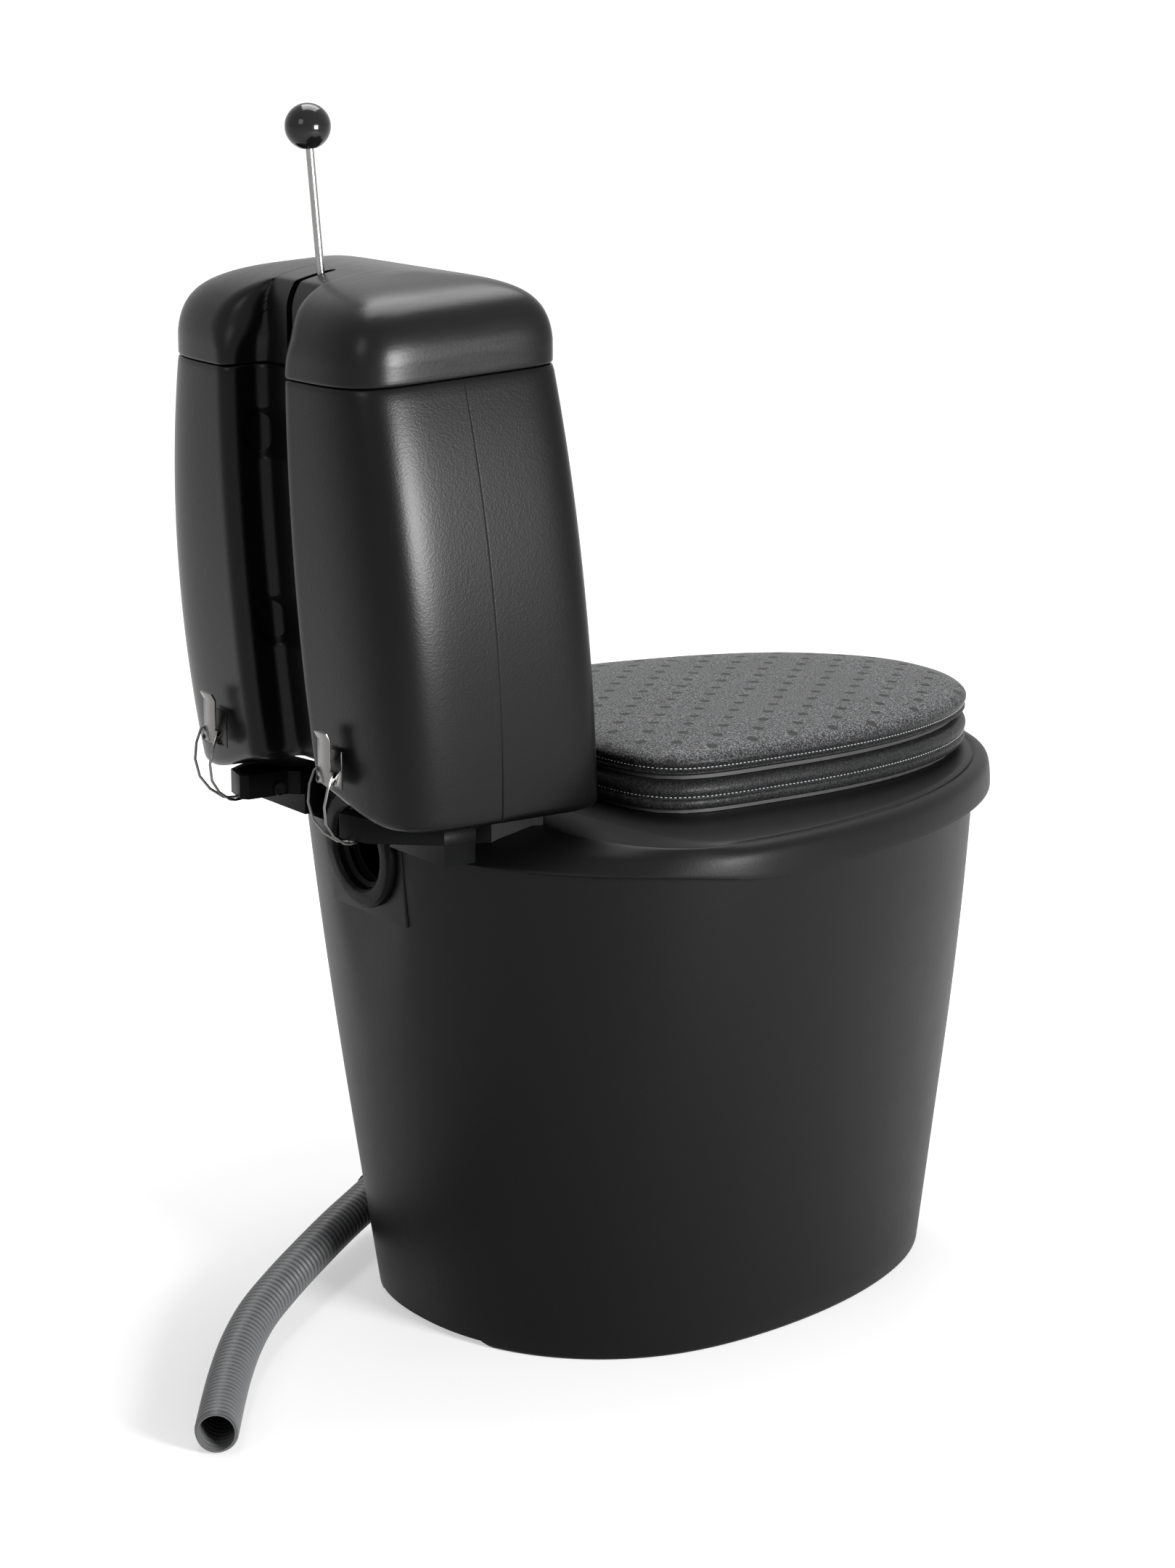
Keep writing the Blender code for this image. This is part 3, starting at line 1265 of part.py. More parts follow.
def clamp_hub(rod_foot, along):
    """Hub on the shaft with the neck that clamps the rod."""
    pivot = pivot_point()
    hub = cylinder(
        "lever_hub", HUB_RADIUS, pivot_point(-HUB_HALF_WIDTH), pivot_point(HUB_HALF_WIDTH), "nickel_plate"
    )
    neck = cylinder("hub_neck", HUB_NECK_RADIUS, pivot, pivot + along * HUB_SOCKET_LENGTH)
    reach = HUB_HALF_WIDTH + CUT_REACH
    shaft_bore = cylinder("hub_bore", SHAFT_RADIUS + CLEARANCE, pivot_point(-reach), pivot_point(reach))
    rod_bore = cylinder(
        "hub_rod_bore",
        ROD_RADIUS + CLEARANCE,
        rod_foot - along * CLEARANCE,
        pivot + along * (HUB_SOCKET_LENGTH + CUT_REACH),
        sides=16,
    )
    boolean(hub, neck, "UNION")
    boolean(hub, shaft_bore)
    boolean(hub, rod_bore)
    return hub


def dosing_gate():
    """Curved gate under the shaft, on two webs with eyes round it."""
    half_width = OUTLET_HALF_WIDTH - GATE_SIDE_GAP
    stand = Matrix.Translation(pivot_point()) @ X_TO_SIDE
    outline = arc_points(GATE_RADIUS, GATE_START, GATE_END, GATE_STEPS)
    outline += arc_points(GATE_RADIUS - GATE_THICKNESS, GATE_END, GATE_START, GATE_STEPS)
    gate = extruded("dispenser_gate", outline, -half_width, half_width, "inner_plastic", stand)
    web_outline = arc_points(GATE_RADIUS - GATE_THICKNESS / 2, GATE_START, GATE_END, GATE_STEPS)
    for degrees in GATE_EYE_ANGLES:
        angle = math.radians(degrees)
        web_outline.append((GATE_EYE_RADIUS * math.cos(angle), GATE_EYE_RADIUS * math.sin(angle)))
    outer = half_width - GATE_WEB_INSET
    for low in (-outer, outer - GATE_WEB_THICKNESS):
        web = extruded("gate_web", web_outline, low, low + GATE_WEB_THICKNESS, matrix=stand)
        boolean(gate, web, "UNION")
    reach = half_width + CUT_REACH
    bore = cylinder("gate_bore", SHAFT_RADIUS + CLEARANCE, pivot_point(-reach), pivot_point(reach))
    boolean(gate, bore)
    return gate


def dispenser_lever():
    """Knob, rod, clamp hub, cross shaft and the dosing gate that hangs from it."""
    rod, knob, rod_foot, along = knob_and_rod()
    hub = clamp_hub(rod_foot, along)
    end = bush_wall_x() - CLEARANCE * 2 - BUSH_END_WALL
    shaft = cylinder(
        "dispenser_shaft", SHAFT_RADIUS, pivot_point(-end), pivot_point(end), "stainless_steel"
    )
    return rod, knob, hub, shaft, dosing_gate()


def shaft_bush(side, label):
    """Bush against the hopper's inner wall that carries one end of the shaft."""
    wall_x = bush_wall_x() - CLEARANCE
    inner = wall_x - BUSH_LENGTH
    bush = cylinder(
        "shaft_bush_" + label,
        BUSH_RADIUS,
        pivot_point(side * inner),
        pivot_point(side * wall_x),
        "inner_plastic",
    )
    bore = cylinder(
        "bush_bore_" + label,
        SHAFT_RADIUS + CLEARANCE,
        pivot_point(side * (inner - CUT_REACH)),
        pivot_point(side * (wall_x - BUSH_END_WALL)),
    )
    boolean(bush, bore)
    return bush


def hopper_cradle(envelope):
    """Frame on the deck that the hopper's floor stands on, round its outlet."""
    rings = []
    top = HOPPER_BOTTOM - CLEARANCE
    low = CASING_TOP
    for inset, level in ((0, low), (0, top), (CRADLE_WALL, top), (CRADLE_WALL, low)):
        outline = superellipse(
            CRADLE_HALF_WIDTH - inset,
            CRADLE_FRONT_Y + inset,
            CRADLE_REAR_Y - inset,
            (CRADLE_FRONT_Y + CRADLE_REAR_Y) / 2,
            CRADLE_POWER,
            CRADLE_POWER,
            SMALL_RING_POINTS,
        )
        rings.append([(x, y, level) for x, y in outline])
    cradle = loft("hopper_cradle", rings, "casing_plastic", closed=True)
    boolean(cradle, envelope)
    return cradle


def latch_bracket(side, label, envelope):
    """Arm from the deck's shoulder to a nose behind the hopper, with the screw that holds it."""
    arm_outline = [
        (BRACKET_INNER_X, BRACKET_ROOT_Y),
        (BRACKET_OUTER_X, BRACKET_ROOT_Y),
        (BRACKET_OUTER_X, BRACKET_SHOULDER_Y),
        (BRACKET_NOSE_OUTER_X + 0.003, BRACKET_NOSE_Y - 0.016),
        (BRACKET_NOSE_OUTER_X - 0.004, BRACKET_NOSE_Y - 0.010),
        (BRACKET_NOSE_INNER_X + 0.006, BRACKET_NOSE_Y - 0.002),
        (BRACKET_NOSE_INNER_X, BRACKET_NOSE_Y - 0.008),
        (BRACKET_NOSE_INNER_X, BRACKET_SHOULDER_Y + 0.012),
        (BRACKET_INNER_X, BRACKET_SHOULDER_Y + 0.004),
    ]
    arm = [(side * x, y) for x, y in arm_outline]
    bracket = extruded("latch_bracket_" + label, arm, BRACKET_BOTTOM, BRACKET_TOP, "bracket_plastic")
    step = BRACKET_STEP
    inner, outer = BRACKET_INNER_X + step, BRACKET_OUTER_X - step
    near, far = BRACKET_ROOT_Y + step, BRACKET_SHOULDER_Y - step
    root = [(side * x, y) for x, y in ((inner, near), (outer, near), (outer, far), (inner, far))]
    root_form = extruded(
        "bracket_root_" + label, root, BRACKET_BOTTOM - BRACKET_ROOT_DROP, BRACKET_TOP - step
    )
    nose_outline = [
        (BRACKET_NOSE_INNER_X + step, BRACKET_NOSE_Y - 0.032),
        (BRACKET_NOSE_OUTER_X - step, BRACKET_NOSE_Y - 0.034),
        (BRACKET_NOSE_OUTER_X - 0.006, BRACKET_NOSE_Y - 0.012),
        (BRACKET_NOSE_INNER_X + 0.008, BRACKET_NOSE_Y - 0.004),
        (BRACKET_NOSE_INNER_X + step, BRACKET_NOSE_Y - 0.010),
    ]
    nose = extruded(
        "bracket_nose_" + label,
        [(side * x, y) for x, y in nose_outline],
        BRACKET_BOTTOM + BRACKET_RISE,
        BRACKET_TOP + BRACKET_NOSE_RISE,
    )
    boolean(bracket, root_form, "UNION")
    boolean(bracket, nose, "UNION")
    boolean(bracket, envelope)
    screw_x = side * (BRACKET_NOSE_INNER_X - CLEARANCE)
    screw = cylinder(
        "bracket_screw_" + label,
        SCREW_HEAD_RADIUS,
        (screw_x - side * SCREW_HEAD_THICKNESS, SCREW_Y, SCREW_Z),
        (screw_x, SCREW_Y, SCREW_Z),
        "nickel_plate",
        sides=16,
    )
    return bracket, screw


def hopper_rear_y(x, z):
    """Rear face of the hopper beside its channel."""
    half_width, front, rear = hopper_size(z)
    centre, reach = (front + rear) / 2, (rear - front) / 2
    return centre + reach * (1 - abs(x / half_width) ** HOPPER_REAR_POWER) ** (1 / HOPPER_REAR_POWER)


LATCH_FACE_Y = hopper_rear_y(LATCH_X - LATCH_BASE_HALF_WIDTH, LATCH_LEVER_TOP) + CLEARANCE
LATCH_PIVOT_Y = LATCH_FACE_Y + LATCH_STANDOFF


def side_profile(name, outline, x_low, x_high, material=None):
    """An outline of (y, z) points, extruded along X."""
    return extruded(name, outline, x_low, x_high, material, X_TO_SIDE)


def latch_base(centre, label):
    """Sheet base with two ears round the pivot pin, and the pin."""
    face, pivot_y, pivot_z = LATCH_FACE_Y, LATCH_PIVOT_Y, LATCH_PIVOT_Z
    sheet, half = LATCH_SHEET, LATCH_BASE_HALF_WIDTH
    low, high = pivot_z - LATCH_BASE_DROP, pivot_z + LATCH_BASE_RISE
    base = side_profile(
        "latch_base_" + label,
        [(face, low), (face + sheet, low), (face + sheet, high), (face, high)],
        centre - half,
        centre + half,
        "nickel_plate",
    )
    root = face + LATCH_EAR_LAP
    outline = [(root, low + LATCH_SHEET / 3), (pivot_y, pivot_z - LATCH_EAR_RADIUS)]
    for degrees in LATCH_EAR_ANGLES:
        angle = math.radians(degrees)
        reach = (LATCH_EAR_RADIUS * math.cos(angle), LATCH_EAR_RADIUS * math.sin(angle))
        outline.append((pivot_y + reach[0], pivot_z + reach[1]))
    outline += [(pivot_y, pivot_z + LATCH_EAR_RADIUS), (root, pivot_z + LATCH_EAR_RISE)]
    lap = LATCH_EAR_LAP / 2
    for low_x, high_x in ((lap - half, sheet - half), (half - sheet, half - lap)):
        ear = side_profile("latch_ear_" + label, outline, centre + low_x, centre + high_x)
        boolean(base, ear, "UNION")
    span = half + LATCH_PIN_OVERHANG
    bore = cylinder(
        "latch_base_bore_" + label,
        LATCH_PIN_RADIUS + CLEARANCE,
        (centre - span - CUT_REACH, pivot_y, pivot_z),
        (centre + span + CUT_REACH, pivot_y, pivot_z),
        sides=12,
    )
    boolean(base, bore)
    pin = cylinder(
        "latch_pin_" + label,
        LATCH_PIN_RADIUS,
        (centre - span, pivot_y, pivot_z),
        (centre + span, pivot_y, pivot_z),
        "nickel_plate",
        sides=12,
    )
    return base, pin


LATCH_KNUCKLE = LATCH_EAR_RADIUS - LATCH_KNUCKLE_GAP
LATCH_OUTER_Y = LATCH_PIVOT_Y + LATCH_KNUCKLE


def latch_lever(centre, label):
    """Sheet lever with its knuckle round the pin and a curled tab."""
    pivot_y, pivot_z = LATCH_PIVOT_Y, LATCH_PIVOT_Z
    sheet, width, knuckle = LATCH_SHEET, LATCH_LEVER_HALF_WIDTH, LATCH_KNUCKLE
    outer_y, top = LATCH_OUTER_Y, LATCH_LEVER_TOP
    foot = pivot_z - LATCH_LEVER_FOOT
    inner_y = pivot_y - knuckle * 0.7
    curl = LATCH_TAB_CURL
    lever = side_profile(
        "latch_lever_" + label,
        [
            (outer_y, foot),
            (outer_y, top - LATCH_TAB),
            (outer_y + LATCH_TAB_REACH, top),
            (outer_y + LATCH_TAB_REACH - curl, top + curl),
            (outer_y - sheet, top - LATCH_TAB + curl),
            (outer_y - sheet, pivot_z + sheet),
            (inner_y, pivot_z + sheet),
            (inner_y, foot),
        ],
        centre - width,
        centre + width,
        "nickel_plate",
    )
    lap = LATCH_EAR_LAP
    barrel = cylinder(
        "lever_barrel_" + label,
        knuckle - lap,
        (centre - width + lap, pivot_y, pivot_z),
        (centre + width - lap, pivot_y, pivot_z),
        sides=16,
    )
    lever_bore = cylinder(
        "lever_bore_" + label,
        LATCH_PIN_RADIUS + CLEARANCE,
        (centre - width - CUT_REACH, pivot_y, pivot_z),
        (centre + width + CUT_REACH, pivot_y, pivot_z),
        sides=12,
    )
    boolean(lever, barrel, "UNION")
    boolean(lever, lever_bore)
    return lever


def latch_bail(centre, label):
    """Wire bail from the lever's sides down to its hook under the bracket's nose."""
    bail_y = LATCH_OUTER_Y - LATCH_SHEET / 2
    bail_z = LATCH_PIVOT_Z + BAIL_PIVOT_RISE
    hook_z = BRACKET_BOTTOM - BAIL_RADIUS - BAIL_HOOK_GAP
    wide, narrow = BAIL_TOP_HALF_WIDTH, BAIL_FOOT_HALF_WIDTH
    half_path = [
        (LATCH_LEVER_HALF_WIDTH + CLEARANCE, bail_y, bail_z),
        (wide - BAIL_RADIUS, bail_y, bail_z),
    ]
    for drop, narrowing, bulge in BAIL_SIDE:
        half_path.append((lerp(wide, narrow, narrowing), bail_y + bulge, lerp(bail_z, hook_z, drop)))
    half_path += [
        (narrow, BRACKET_NOSE_Y + BAIL_RADIUS * 3.6, hook_z + BAIL_RADIUS),
        (narrow, BRACKET_NOSE_Y - BAIL_RADIUS, hook_z),
        (narrow - BAIL_RADIUS, BRACKET_NOSE_Y - BAIL_RADIUS * 6, hook_z),
    ]
    path = [(centre + x, y, z) for x, y, z in half_path]
    path += [(centre - x, y, z) for x, y, z in reversed(half_path)]
    bail = wire("latch_bail_" + label, path, BAIL_RADIUS, "nickel_plate")
    return bail, (centre, bail_y, bail_z)


def over_centre_latch(side, label):
    """Base, pivot pin, lever and bail, with the moving pieces hung on their axes."""
    centre = side * LATCH_X
    base, pin = latch_base(centre, label)
    lever = latch_lever(centre, label)
    bail, bail_pivot = latch_bail(centre, label)
    pivot = (centre, LATCH_PIVOT_Y, LATCH_PIVOT_Z)
    hang(joint_empty("latch_lever_axis_" + label, pivot), lever)
    hang(joint_empty("latch_bail_axis_" + label, bail_pivot), bail)
    return base, pin, lever, bail


def smooth_route(points, steps):
    """Catmull-Rom samples through hand-chosen points."""
    points = [Vector(point) for point in points]
    ends = [2 * points[0] - points[1]] + points + [2 * points[-1] - points[-2]]
    route = []
    for before, start, end, after in zip(ends, ends[1:], ends[2:], ends[3:]):
        for i in range(steps):
            t = i / steps
            route.append(
                0.5
                * (
                    2 * start
                    + (end - before) * t
                    + (2 * before - 5 * start + 4 * end - after) * t * t
                    + (3 * start - before - 3 * end + after) * t**3
                )
            )
    return route + [points[-1]]


def spaced(route, pitch):
    """Points at a near-equal pitch along a route, ends included."""
    lengths = [0.0]
    for a, b in zip(route, route[1:]):
        lengths.append(lengths[-1] + (b - a).length)
    count = max(round(lengths[-1] / pitch), 1)
    samples = []
    segment = 0
    for i in range(count + 1):
        goal = lengths[-1] * i / count
        while segment < len(route) - 2 and lengths[segment + 1] < goal:
            segment += 1
        span = lengths[segment + 1] - lengths[segment]
        samples.append(route[segment].lerp(route[segment + 1], (goal - lengths[segment]) / span))
    return samples


def drain_fitting():
    """Gasket, inner nut and the elbow that turns from the wall to the hose."""
    face, out, corner = drain_frame()
    gasket_face = face + out * CLEARANCE
    flange_face = gasket_face + out * (GASKET_THICKNESS + CLEARANCE)
    collar_end, along = hose_start()

    gasket = cylinder(
        "drain_gasket", DRAIN_FLANGE_RADIUS, gasket_face, gasket_face + out * GASKET_THICKNESS, "rubber"
    )
    gasket_hole = cylinder(
        "gasket_hole",
        DRAIN_TUBE_RADIUS + DRAIN_HOLE_GAP,
        gasket_face - out * CUT_REACH,
        flange_face + out * CUT_REACH,
    )
    boolean(gasket, gasket_hole)

    turn = out.angle(along)
    radius = ELBOW_LEG / math.tan(turn / 2)
    start = corner - out * ELBOW_LEG
    inward = (along - out * along.dot(out)).normalized()
    bend = []
    for i in range(ELBOW_STEPS + 1):
        angle = turn * i / ELBOW_STEPS
        bend.append(start + out * radius * math.sin(angle) + inward * radius * (1 - math.cos(angle)))
    inner_end = face - out * DRAIN_TUBE_INSIDE
    elbow = wire(
        "drain_elbow", [inner_end] + bend + [collar_end], DRAIN_TUBE_RADIUS, "hose_plastic", resolution=3
    )
    flange = cylinder(
        "elbow_flange", DRAIN_FLANGE_RADIUS, flange_face, flange_face + out * DRAIN_FLANGE_THICKNESS
    )
    collar = cylinder(
        "elbow_collar",
        COLLAR_RADIUS,
        collar_end - along * COLLAR_LENGTH,
        collar_end + along * CLEARANCE / 3,
    )
    bore_path = [inner_end - out * CUT_REACH] + bend + [collar_end + along * CUT_REACH]
    elbow_bore = wire("elbow_bore", bore_path, DRAIN_BORE_RADIUS)
    boolean(elbow, flange, "UNION")
    boolean(elbow, collar, "UNION")
    boolean(elbow, elbow_bore)

    nut_end = face - out * (DRAIN_TUBE_INSIDE - NUT_THREAD_END)
    nut = cylinder("drain_nut", NUT_RADIUS, nut_end, nut_end + out * NUT_THICKNESS, "hose_plastic", sides=6)
    nut_hole = cylinder(
        "nut_hole",
        DRAIN_TUBE_RADIUS + DRAIN_HOLE_GAP,
        nut_end - out * CUT_REACH,
        nut_end + out * (NUT_THICKNESS + CUT_REACH),
    )
    boolean(nut, nut_hole)
    return gasket, elbow, nut


def drain_hose():
    """Ribbed hose with its bore, from the elbow's collar to the cut end on the floor."""
    start = Vector(HOSE_ROUTE[0])
    along = (Vector(HOSE_ROUTE[1]) - start).normalized()
    first = start - along * (HOSE_RADIUS * 2)
    last = Vector(HOSE_END)
    route = smooth_route([first] + [Vector(p) for p in HOSE_ROUTE] + [last], HOSE_ROUTE_STEPS)
    centres = spaced(route, HOSE_RIB_PITCH / 2)
    valley = (HOSE_RADIUS - HOSE_RIB_DEPTH) / HOSE_RADIUS
    radii = [valley if i % 2 == 0 else 1.0 for i in range(len(centres))]
    hose = wire("drain_hose", centres, HOSE_RADIUS, "hose_plastic", resolution=2, radii=radii)
    bore_points = spaced(route, HOSE_RADIUS * 1.4)
    lead = (bore_points[0] - bore_points[1]).normalized() * CUT_REACH
    tail = (bore_points[-1] - bore_points[-2]).normalized() * CUT_REACH
    bore_points = [bore_points[0] + lead] + bore_points[1:-1] + [bore_points[-1] + tail]
    bore = wire("hose_bore", bore_points, HOSE_BORE_RADIUS, resolution=2)
    boolean(hose, bore)
    return hose


def build():
    outer_casing()
    vent_collar()
    strainer_plate()
    drain_fitting()
    drain_hose()

    envelope = deck_envelope()
    seat_deck()
    splash_guard()
    hopper_cradle(envelope)
    seat_ring_board()
    seat_ring_cushion()
    lid_axis = joint_empty("seat_lid_axis", (0, HINGE_Y, HINGE_Z))
    hang(lid_axis, seat_lid_board(), seat_lid_cushion())

    hopper_tank()
    hopper_lid()
    lever_axis = joint_empty("dispenser_axis", (0, PIVOT_Y, PIVOT_Z))
    hang(lever_axis, *dispenser_lever())
    for side, label in ((1, "right"), (-1, "left")):
        seat_hinge(side, label)
        shaft_bush(side, label)
        latch_bracket(side, label, envelope)
        over_centre_latch(side, label)


build()
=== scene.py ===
"""Dry toilet: smooth moulded skins, padded seat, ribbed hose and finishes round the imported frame."""

import json
import math

import bmesh
import bpy
import numpy as np
from mathutils import Matrix, Vector

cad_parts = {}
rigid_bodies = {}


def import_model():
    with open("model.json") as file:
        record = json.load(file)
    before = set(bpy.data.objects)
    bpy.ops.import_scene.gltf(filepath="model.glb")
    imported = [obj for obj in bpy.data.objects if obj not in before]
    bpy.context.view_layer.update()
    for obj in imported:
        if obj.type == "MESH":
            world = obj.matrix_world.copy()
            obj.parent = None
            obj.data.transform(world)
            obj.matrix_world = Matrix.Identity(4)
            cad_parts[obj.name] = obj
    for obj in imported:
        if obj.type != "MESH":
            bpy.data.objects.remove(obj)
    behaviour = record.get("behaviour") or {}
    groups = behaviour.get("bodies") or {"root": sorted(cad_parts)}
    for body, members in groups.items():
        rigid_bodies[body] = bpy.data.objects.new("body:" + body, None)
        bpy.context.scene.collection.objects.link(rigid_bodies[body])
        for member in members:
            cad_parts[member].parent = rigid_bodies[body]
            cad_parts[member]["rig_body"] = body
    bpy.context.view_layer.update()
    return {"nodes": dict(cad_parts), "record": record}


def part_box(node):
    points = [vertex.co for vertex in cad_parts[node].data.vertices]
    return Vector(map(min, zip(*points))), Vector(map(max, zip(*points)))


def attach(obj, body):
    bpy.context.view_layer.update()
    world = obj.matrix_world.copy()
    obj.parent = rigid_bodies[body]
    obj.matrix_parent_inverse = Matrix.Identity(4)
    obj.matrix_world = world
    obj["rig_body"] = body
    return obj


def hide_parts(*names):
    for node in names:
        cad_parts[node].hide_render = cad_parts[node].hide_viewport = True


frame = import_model()
nodes = frame["nodes"]
body_of = {name: piece["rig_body"] for name, piece in nodes.items()}
scene = bpy.context.scene


# Camera

PHOTO_SIZE = (1619, 2160)
FOCAL_PIXELS = 5500
SENSOR_WIDTH = 36.0
CAMERA_PLACE = Vector((-2.9398, 2.0383, 1.3104))
CAMERA_AIM = Vector((-0.0052, 0.0364, 0.4837))

UP = Vector((0, 0, 1))
FORWARD = (CAMERA_AIM - CAMERA_PLACE).normalized()
RIGHT = FORWARD.cross(UP).normalized()


def aimed(place, aim):
    """Placement of a camera or lamp that looks at a point."""
    return Matrix.Translation(place) @ (aim - place).to_track_quat("-Z", "Y").to_matrix().to_4x4()


camera_data = bpy.data.cameras.new("photo_camera")
camera_data.sensor_width = SENSOR_WIDTH
camera_data.lens = FOCAL_PIXELS * SENSOR_WIDTH / PHOTO_SIZE[1]
camera = bpy.data.objects.new("photo_camera", camera_data)
scene.collection.objects.link(camera)
camera.matrix_world = aimed(CAMERA_PLACE, CAMERA_AIM)
scene.camera = camera


# Node trees

class Value:
    """A node socket that takes Python arithmetic."""

    def __init__(self, nodes, socket):
        self.nodes = nodes
        self.socket = socket

    def maths(self, operation, *others, swap=False):
        ends = [self, *others]
        if swap:
            ends.reverse()
        return self.nodes.node("ShaderNodeMath", {"operation": operation}, dict(enumerate(ends)))

    def __add__(self, other):
        return self.maths("ADD", other)

    def __radd__(self, other):
        return self.maths("ADD", other)

    def __sub__(self, other):
        return self.maths("SUBTRACT", other)

    def __rsub__(self, other):
        return self.maths("SUBTRACT", other, swap=True)

    def __mul__(self, other):
        return self.maths("MULTIPLY", other)

    def __rmul__(self, other):
        return self.maths("MULTIPLY", other)

    def __truediv__(self, other):
        return self.maths("DIVIDE", other)

    def __abs__(self):
        return self.maths("ABSOLUTE")

    def fraction(self):
        return self.maths("FRACT")

    def ramp(self, low, high, bottom=0.0, top=1.0):
        """The bottom value below one level, the top one above the other, smooth between them."""
        return self.nodes.node(
            "ShaderNodeMapRange",
            {"interpolation_type": "SMOOTHSTEP"},
            {"Value": self, "From Min": low, "From Max": high, "To Min": bottom, "To Max": top},
        )

    def part(self, axis):
        """One component of a vector."""
        return self.nodes.node("ShaderNodeSeparateXYZ", {}, {"Vector": self}, output=axis)


class Nodes:
    """Makes and links the nodes of one tree."""

    def __init__(self, tree):
        self.tree = tree

    def join(self, value, socket):
        """Links a value to a socket, or writes a constant on it."""
        if isinstance(value, Value):
            self.tree.links.new(value.socket, socket)
        else:
            socket.default_value = value

    def node(self, kind, settings=None, sockets=None, output=0):
        """Makes a node, with its settings first, and returns one of its outputs."""
        made = self.tree.nodes.new(kind)
        for key, value in (settings or {}).items():
            setattr(made, key, value)
        for key, value in (sockets or {}).items():
            self.join(value, made.inputs[key])
        return Value(self, made.outputs[output])


class Finish(Nodes):
    """A procedural material on one Principled BSDF."""

    def __init__(self, name, **constants):
        self.material = bpy.data.materials.new(name)
        self.material.use_nodes = True
        super().__init__(self.material.node_tree)
        self.tree.nodes.clear()
        self.shader = self.tree.nodes.new("ShaderNodeBsdfPrincipled")
        target = self.tree.nodes.new("ShaderNodeOutputMaterial")
        self.tree.links.new(self.shader.outputs[0], target.inputs["Surface"])
        for socket, value in constants.items():
            self.link(socket.replace("_", " "), value)

    def link(self, socket, value):
        self.join(value, self.shader.inputs[socket])

    def place(self):
        return self.node("ShaderNodeTexCoord", output="Object")

    def scaled(self, place, factor):
        return self.node("ShaderNodeVectorMath", {"operation": "MULTIPLY"}, {0: place, 1: factor})

    def noise(self, place, size, detail=2.0, roughness=0.5):
        sockets = {"Vector": place, "Scale": 1 / size, "Detail": detail, "Roughness": roughness}
        return self.node("ShaderNodeTexNoise", {}, sockets)

    def cells(self, place, size, softness):
        """Rounded cells of about one size, as in leather grain."""
        sockets = {"Vector": place, "Scale": 1 / size, "Smoothness": softness}
        return self.node("ShaderNodeTexVoronoi", {"feature": "SMOOTH_F1"}, sockets)

    def attribute(self, name):
        """A number stored on the mesh's points."""
        return self.node("ShaderNodeAttribute", {"attribute_name": name}, output="Fac")

    def mix(self, share, low, high):
        """Blend of two colours."""
        low, high = (end if isinstance(end, Value) else (*end, 1) for end in (low, high))
        return self.node("ShaderNodeMix", {"data_type": "RGBA"}, {0: share, 6: low, 7: high}, output=2)

    def colour(self, value):
        self.link("Base Color", value)

    def rough(self, value):
        self.link("Roughness", value)

    def bump(self, height, depth):
        """Relief of a 0-1 height, its full depth in metres."""
        self.link("Normal", self.node("ShaderNodeBump", {}, {"Height": height, "Distance": depth}))


# Finishes

TONE_DRIFT = 0.12
PARTING_TOP = (0.2700, 0.880)
PARTING_SLOPE = -0.06
DOT_PITCH = 0.0315 * math.sqrt(2)
DOT_LEVEL = 0.548


def grey(level, blue=0.0):
    """A grey that leans to blue by a share."""
    return (level * (1 - blue * 0.5), level, level * (1 + blue))


def moulded(name, level, roughness, grain, relief, blue=0.03, specular=0.12):
    """Satin injection-moulded plastic: faint spark-eroded grain, slow tone drift and rubbed patches."""
    finish = Finish(name, Specular_IOR_Level=specular)
    place = finish.place()
    slow = finish.noise(place, 0.16, 3.0)
    rubbed = finish.noise(place, 0.035, 4.0, 0.6)
    fine = finish.noise(place, grain)
    pits = finish.cells(place, grain * 2.4, 0.6)
    low, high = (grey(level * share, blue) for share in (1 - TONE_DRIFT, 1 + TONE_DRIFT))
    finish.colour(finish.mix(slow, low, high))
    finish.rough(rubbed * 0.06 + fine * 0.04 + (roughness - 0.05))
    finish.bump(fine * 0.6 + pits * 0.4, relief)
    return finish.material


def grained_hopper():
    """Blow-moulded wall: leather grain, and the mould's parting line down each side."""
    finish = Finish("hopper_grain", IOR=1.2, Specular_IOR_Level=0.58)
    place = finish.place()
    slow = finish.noise(place, 0.20, 3.0)
    cells = finish.cells(place, 0.0017, 0.35)
    large = finish.cells(place, 0.0030, 0.5)
    fine = finish.noise(place, 0.0011)
    line_y = PARTING_TOP[0] + (PARTING_TOP[1] - place.part(2)) * PARTING_SLOPE
    offset = place.part(1) - line_y
    groove = 1 - abs(offset).ramp(0.0002, 0.0012)
    step = offset.ramp(-0.0006, 0.0006)
    finish.colour(finish.mix(slow, grey(0.0009, 0.05), grey(0.0018, 0.05)))
    finish.rough(slow * 0.05 + fine * 0.05 + 0.265)
    relief = cells * 0.42 + large * 0.28 + fine * 0.14 + step * 2.2 - groove * 3.0
    finish.bump(relief, 0.00011)
    return finish.material


def grained_lid():
    """Smoother semi-gloss cap with faint drag lines and a soft grain."""
    finish = Finish("lid_satin", IOR=1.25, Specular_IOR_Level=0.45)
    place = finish.place()
    slow = finish.noise(place, 0.12, 3.0)
    drag = finish.noise(finish.scaled(place, (9.0, 1.0, 9.0)), 0.05, 5.0, 0.7)
    grain = finish.cells(place, 0.0030, 0.6)
    finish.colour(finish.mix(slow, grey(0.0022, 0.04), grey(0.0036, 0.04)))
    finish.rough(drag * 0.14 + slow * 0.04 + 0.225)
    finish.bump(grain * 0.25 + drag * 0.75, 0.00010)
    return finish.material


